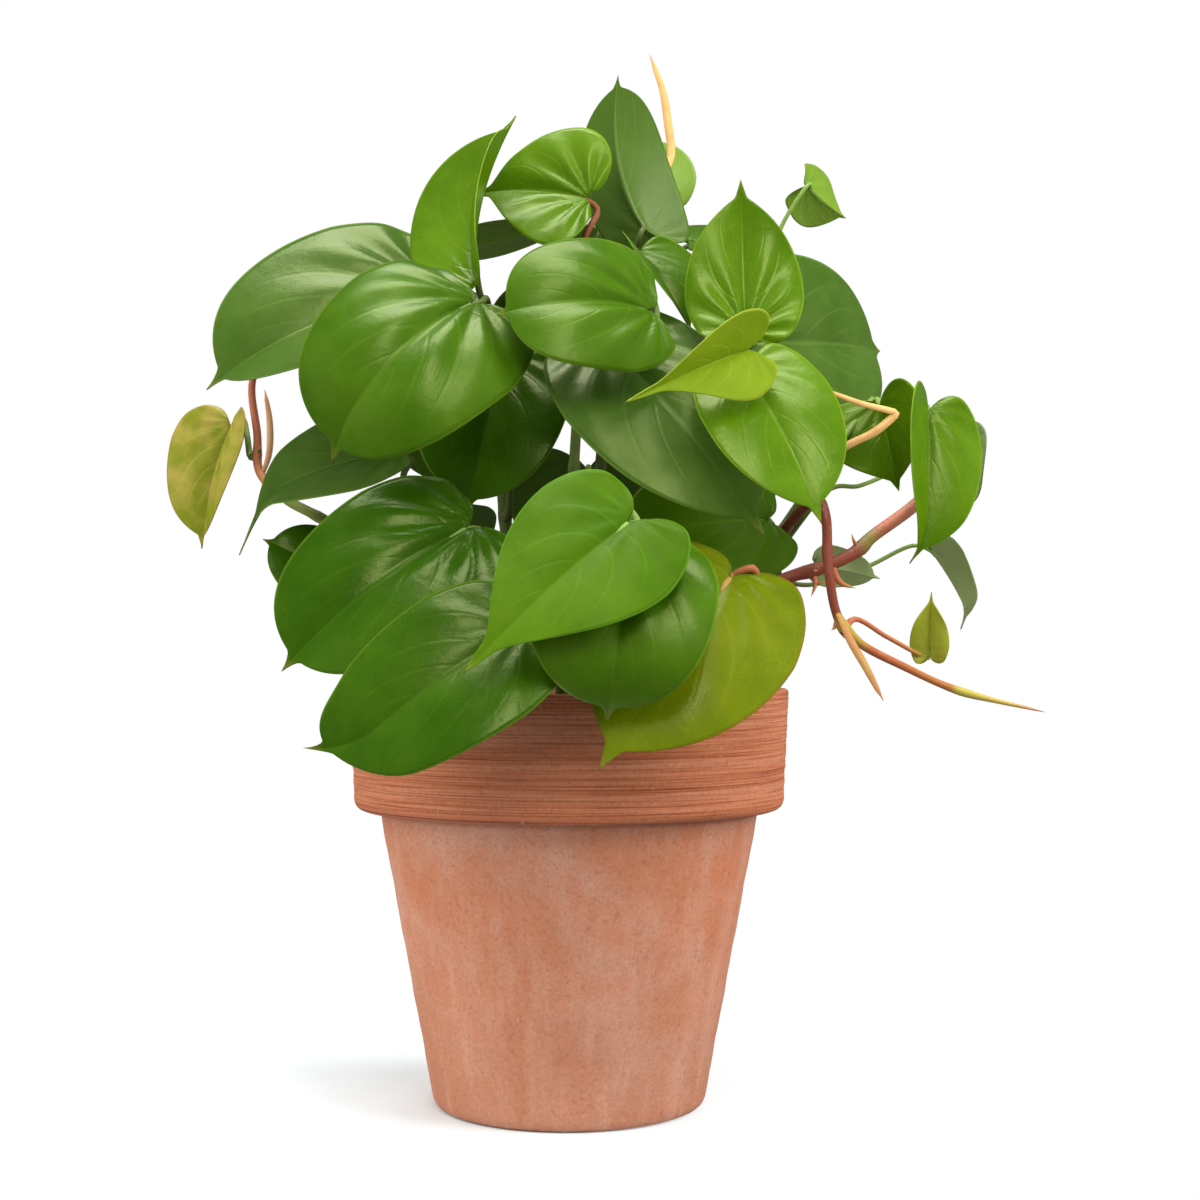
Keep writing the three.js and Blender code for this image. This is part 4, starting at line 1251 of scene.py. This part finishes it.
def stalk_path(leaf, vine):
    base, along, face, _ = leaf_axes(leaf)
    via = [vec(point) for point in leaf.get("via", [])]
    root, seat, out = seat_on(vine, leaf["at"], via[0] if via else base, 0)
    under = STALK_RADIUS - BLADE_THICKNESS / 2
    end = blade_points(leaf, np.array([JOINED_AT]), np.array([0.0]), False)[0]
    swing = leaf.get("swing", 1)
    return Path([root, seat + out * 4, *via, base - (along * 4 + face * 5) * swing,
                 base + along * 0.5 - face * under, end - face * under])


def stalk_radius(leaf, t):
    size = min(1, max(0.62, leaf["half"] / 22))
    thick = 1.2 - 0.25 * t + 0.75 * math.exp(-(t / 0.09) ** 2)
    return size * STALK_RADIUS * thick * (1 if t < 0.9 else 1 - 0.6 * (t - 0.9) / 0.1)


# %%
# Every leaf of every vine. A few differ in finish from the others of their tone
# four leaves take the greyer painted sheen finish, which paints in the grey reflection on them
REPAINTED = {"leaf_front_1": "matt", "leaf_trailing_1": "straw", "leaf_upper_left_1": "dusty",
             "leaf_upper_right_2": "dusty", "leaf_left_2": "dusty", "leaf_upper_right_5": "dusty"}
AGE_OF = {"deep": "old", "mid": "old", "bright": "fresh"}
SEEN_BELOW = {"leaf_trailing_2": "pale", "leaf_right_3": "pale", "leaf_right_4": "pale",
              "leaf_upper_right_3": "fresh"}
BRIGHT_BELOW = {"leaf_upper_left_3"}
ROSY_STALKS = {"leaf_top_1", "leaf_right_1", "leaf_trailing_1"}
BLADE_COLUMNS, BLADE_ROWS = 36, 72
STALK_SIDES, STALK_SPACING, STALK_FEWEST = 9, 1.8, 20


def finishes_of(leaf):
    name, tone = leaf["name"], leaf["tone"]
    upper = leaf_finishes[REPAINTED.get(name, tone)]
    lower = undersides[SEEN_BELOW.get(name, AGE_OF.get(tone, "young"))]
    if name in BRIGHT_BELOW:
        lower = leaf_finishes["bright"]
    return [upper, lower, stem_finishes["rosy_stalk" if name in ROSY_STALKS else "green_stem"]]


def grow_leaf(leaf, vine):
    mesh = mapped_mesh()
    sheet(mesh, lambda u, v: blade_points(leaf, u, v), BLADE_COLUMNS, BLADE_ROWS,
          blade_thickness, 0, 1)
    path = stalk_path(leaf, vine)
    rings = rings_on(path, STALK_SPACING, STALK_FEWEST)
    roll(mesh, path, lambda t: stalk_radius(leaf, t), STALK_SIDES, rings, 2)
    slot = "leaf_" + leaf["tone"]
    return finish_piece(leaf["name"] + "_blade", mesh, finishes_of(leaf), slot, leaf["name"])


leaf_pieces = [grow_leaf(leaf, vine) for vine in VINES for leaf in vine["leaves"]]
leaf_faces = sum(len(piece.data.polygons) for piece in leaf_pieces)
print("leaves:", len(leaf_pieces), "with", leaf_faces, "faces")

# %% [markdown]
# ## The papery sheaths
# A new leaf grows inside a thin sheath, which stays on the vine for a while and dries to
# orange. It is a narrow sheet curled along its length. The same sheet maker is used, with a
# formula that wraps the grid's width round a part of a circle.

# %%
# Dry sheath: amber, striped along its length
def sheath_finish(name, dark, light, patches, end):
    dry = Finish(name)
    across, along = dry.grid()
    lines = dry.node("ShaderNodeCombineXYZ", None, {0: across * 26, 1: along * 3})
    fibre = dry.noise(1.0, 4.0, 0.6, lines)
    patch = dry.noise(130.0, 3.0, 0.6)
    colour = dry.mix(fibre.step(0.3, 0.7), dark, light)
    colour = dry.mix(patch.step(0.5, 0.72) * 0.5, colour, patches)
    colour = dry.mix(along.step(0.86, 1.0) * 0.5, colour, end)
    dry.set(Base_Color=colour, Roughness=0.45 + fibre * 0.15)
    dry.bump(fibre, 0.0001, 0.4)
    return let_light_through(dry, light, 1.2)


SHEATHS = {
    "dry": ((0.7, 0.36, 0.09), (0.8, 0.52, 0.2), (0.6, 0.26, 0.07), (0.5, 0.2, 0.06)),
    "pink": ((0.6, 0.28, 0.13), (0.72, 0.45, 0.22), (0.5, 0.17, 0.07), (0.55, 0.42, 0.12)),
    "tan": ((0.4, 0.15, 0.045), (0.56, 0.3, 0.1), (0.42, 0.34, 0.06), (0.3, 0.1, 0.03)),
}
sheath_finishes = {tone: sheath_finish(tone + "_sheath", *values) for tone, values in SHEATHS.items()}
print("sheath finishes:", ", ".join(sheath_finishes))

# %%
# The sheaths on their vines
SHEATH_TONES = {"sheath_left": "pink", "sheath_trailing": "tan"}
SHEATH_WRAP = {"sheath_trailing": 0.8}
USUAL_WRAP = 1.15
SHEATH_THICKNESS = 0.16
SHEATH_COLUMNS, SHEATH_SPACING, SHEATH_FEWEST = 12, 0.9, 24
SHEATH_BACK = (0.25, -0.9, 0.35)


def grow_sheath(sheath, vine):
    through = [vec(point) for point in sheath["through"]]
    root, seat, _ = seat_on(vine, sheath["at"], through[0], 0.56 * sheath["wide"])
    path = Path([(root + seat) / 2, *through])
    wrap = SHEATH_WRAP.get(sheath["name"], USUAL_WRAP)

    def place(u, v):
        heading = path.heading(u)
        right = np.cross(heading, vec(SHEATH_BACK))
        right = right / np.linalg.norm(right, axis=1, keepdims=True)
        up = np.cross(right, heading)
        width = sheath["wide"] * (0.35 + 0.75 * np.sin(math.pi * (0.12 + 0.85 * u)))
        width = width * np.clip((1 - u) / 0.12, 0.02, 1)
        turn = v * wrap
        point = path.at(u) + right * (np.sin(turn) * width)[:, None]
        return point - up * ((1 - np.cos(turn)) * width * 0.9)[:, None]

    mesh = mapped_mesh()
    rows = rings_on(path, SHEATH_SPACING, SHEATH_FEWEST)
    sheet(mesh, place, SHEATH_COLUMNS, rows, lambda u, v, below: SHEATH_THICKNESS, 0, 0)
    finish = sheath_finishes[SHEATH_TONES.get(sheath["name"], "dry")]
    return finish_piece(sheath["name"] + "_dry", mesh, [finish], "sheath", sheath["name"])


sheath_pieces = [grow_sheath(sheath, vine) for vine in VINES for sheath in vine["sheaths"]]
print("sheaths:", len(sheath_pieces))

# %% [markdown]
# ## The studio
# The photograph was taken on a white sweep with large soft lamps on both sides, so the floor is
# nearly pure white and the only shadow is a soft one at the foot of the pot. Here the sky gives
# the white, and the floor is seen only where that shadow lies: elsewhere its alpha is nought.

# %%
# The floor, seen through except at the pot's left foot
FLOOR_SIZE = 6
FLOOR_DROP = 0.0002
SHADOW_SHIFT = 0.065
SHADOW_FROM, SHADOW_TO = 0.065, 0.185
RIGHT_FROM, RIGHT_TO = 0.01, 0.07


def white_paper():
    paper = Finish("white_paper")
    spot = paper.distance(paper.place(shift=(SHADOW_SHIFT, 0, 0)))
    sideways = paper.split(paper.place(), "X")
    left = 1 - sideways.step(RIGHT_FROM, RIGHT_TO)
    paper.set(Base_Color=(0.79, 0.84, 0.85), Roughness=0.9)
    paper.set(Alpha=(1 - spot.step(SHADOW_FROM, SHADOW_TO)) * left)
    return paper.material


floor_mesh = bmesh.new()
bmesh.ops.create_grid(floor_mesh, x_segments=1, y_segments=1, size=FLOOR_SIZE)
studio_floor = into_object("studio_floor", floor_mesh, [white_paper()])
studio_floor.location.z = -FLOOR_DROP
print("floor:", 2 * FLOOR_SIZE, "m wide")

# %%
# Lamps: the four round the plant only fill, and the top softbox and the small highlight also
# show in the gloss of the leaves
AIM = (0, 0, 0.2)


def lamp(name, place, size, power, shines=True):
    data = bpy.data.lights.new(name, "AREA")
    data.shape = "RECTANGLE"
    data.size, data.size_y = size
    data.energy = power
    made = bpy.data.objects.new(name, data)
    made.location = place
    made.rotation_euler = (Vector(AIM) - Vector(place)).to_track_quat("-Z", "Y").to_euler()
    made.visible_glossy = shines
    scene.collection.objects.link(made)


lamp("left_softbox", (-1.05, -0.45, 0.65), (1.1, 1.3), 17, False)
lamp("right_softbox", (1.1, -0.35, 0.7), (1.1, 1.3), 25, False)
lamp("front_softbox", (-0.1, -0.9, 0.9), (0.6, 0.6), 2, False)
lamp("back_softbox", (0.3, 1.3, 0.8), (1.0, 1.0), 7, False)
lamp("top_softbox", (-0.05, -0.05, 1.2), (0.7, 0.5), 9.5)
lamp("highlight", (0.12, -0.75, 0.85), (0.2, 0.42), 2.6)

# %%
# The sky: white to the camera, dimmer as a light, and dimmer still in the gloss
FILL, FILL_MIRRORED = 0.4, 0.12
sky = bpy.data.worlds.new("white_sky")
scene.world = sky
sky.use_nodes = True
above = Tree(sky.node_tree)
backdrop = above.nodes["Background"]
backdrop.inputs["Color"].default_value = (1, 1, 1, 1)
in_gloss = above.node("ShaderNodeLightPath", output="Is Glossy Ray")
to_camera = above.node("ShaderNodeLightPath", output="Is Camera Ray")
above.feed(backdrop.inputs["Strength"],
           FILL + in_gloss * (FILL_MIRRORED - FILL) + to_camera * (1 - FILL))
scene.view_settings.view_transform = "Standard"
print("sky:", sky.name)

# %% [markdown]
# ## The camera
# The photographer stood low: the ellipses of the rim and the foot put the lens a little above
# the rim, 0.7 m in front of the pot, looking one degree up.

# %%
# Camera, where the photographer's stood
LOOK_UP = 1
lens = bpy.data.cameras.new("camera")
lens.sensor_width = 36
lens.lens = 61.2
lens.clip_start = 0.01
camera = bpy.data.objects.new("camera", lens)
camera.location = (0.0105, -0.7, 0.159)
camera.rotation_euler = (math.radians(90 + LOOK_UP), 0, 0)
scene.collection.objects.link(camera)
scene.camera = camera
print("camera at", tuple(round(value, 4) for value in camera.location))
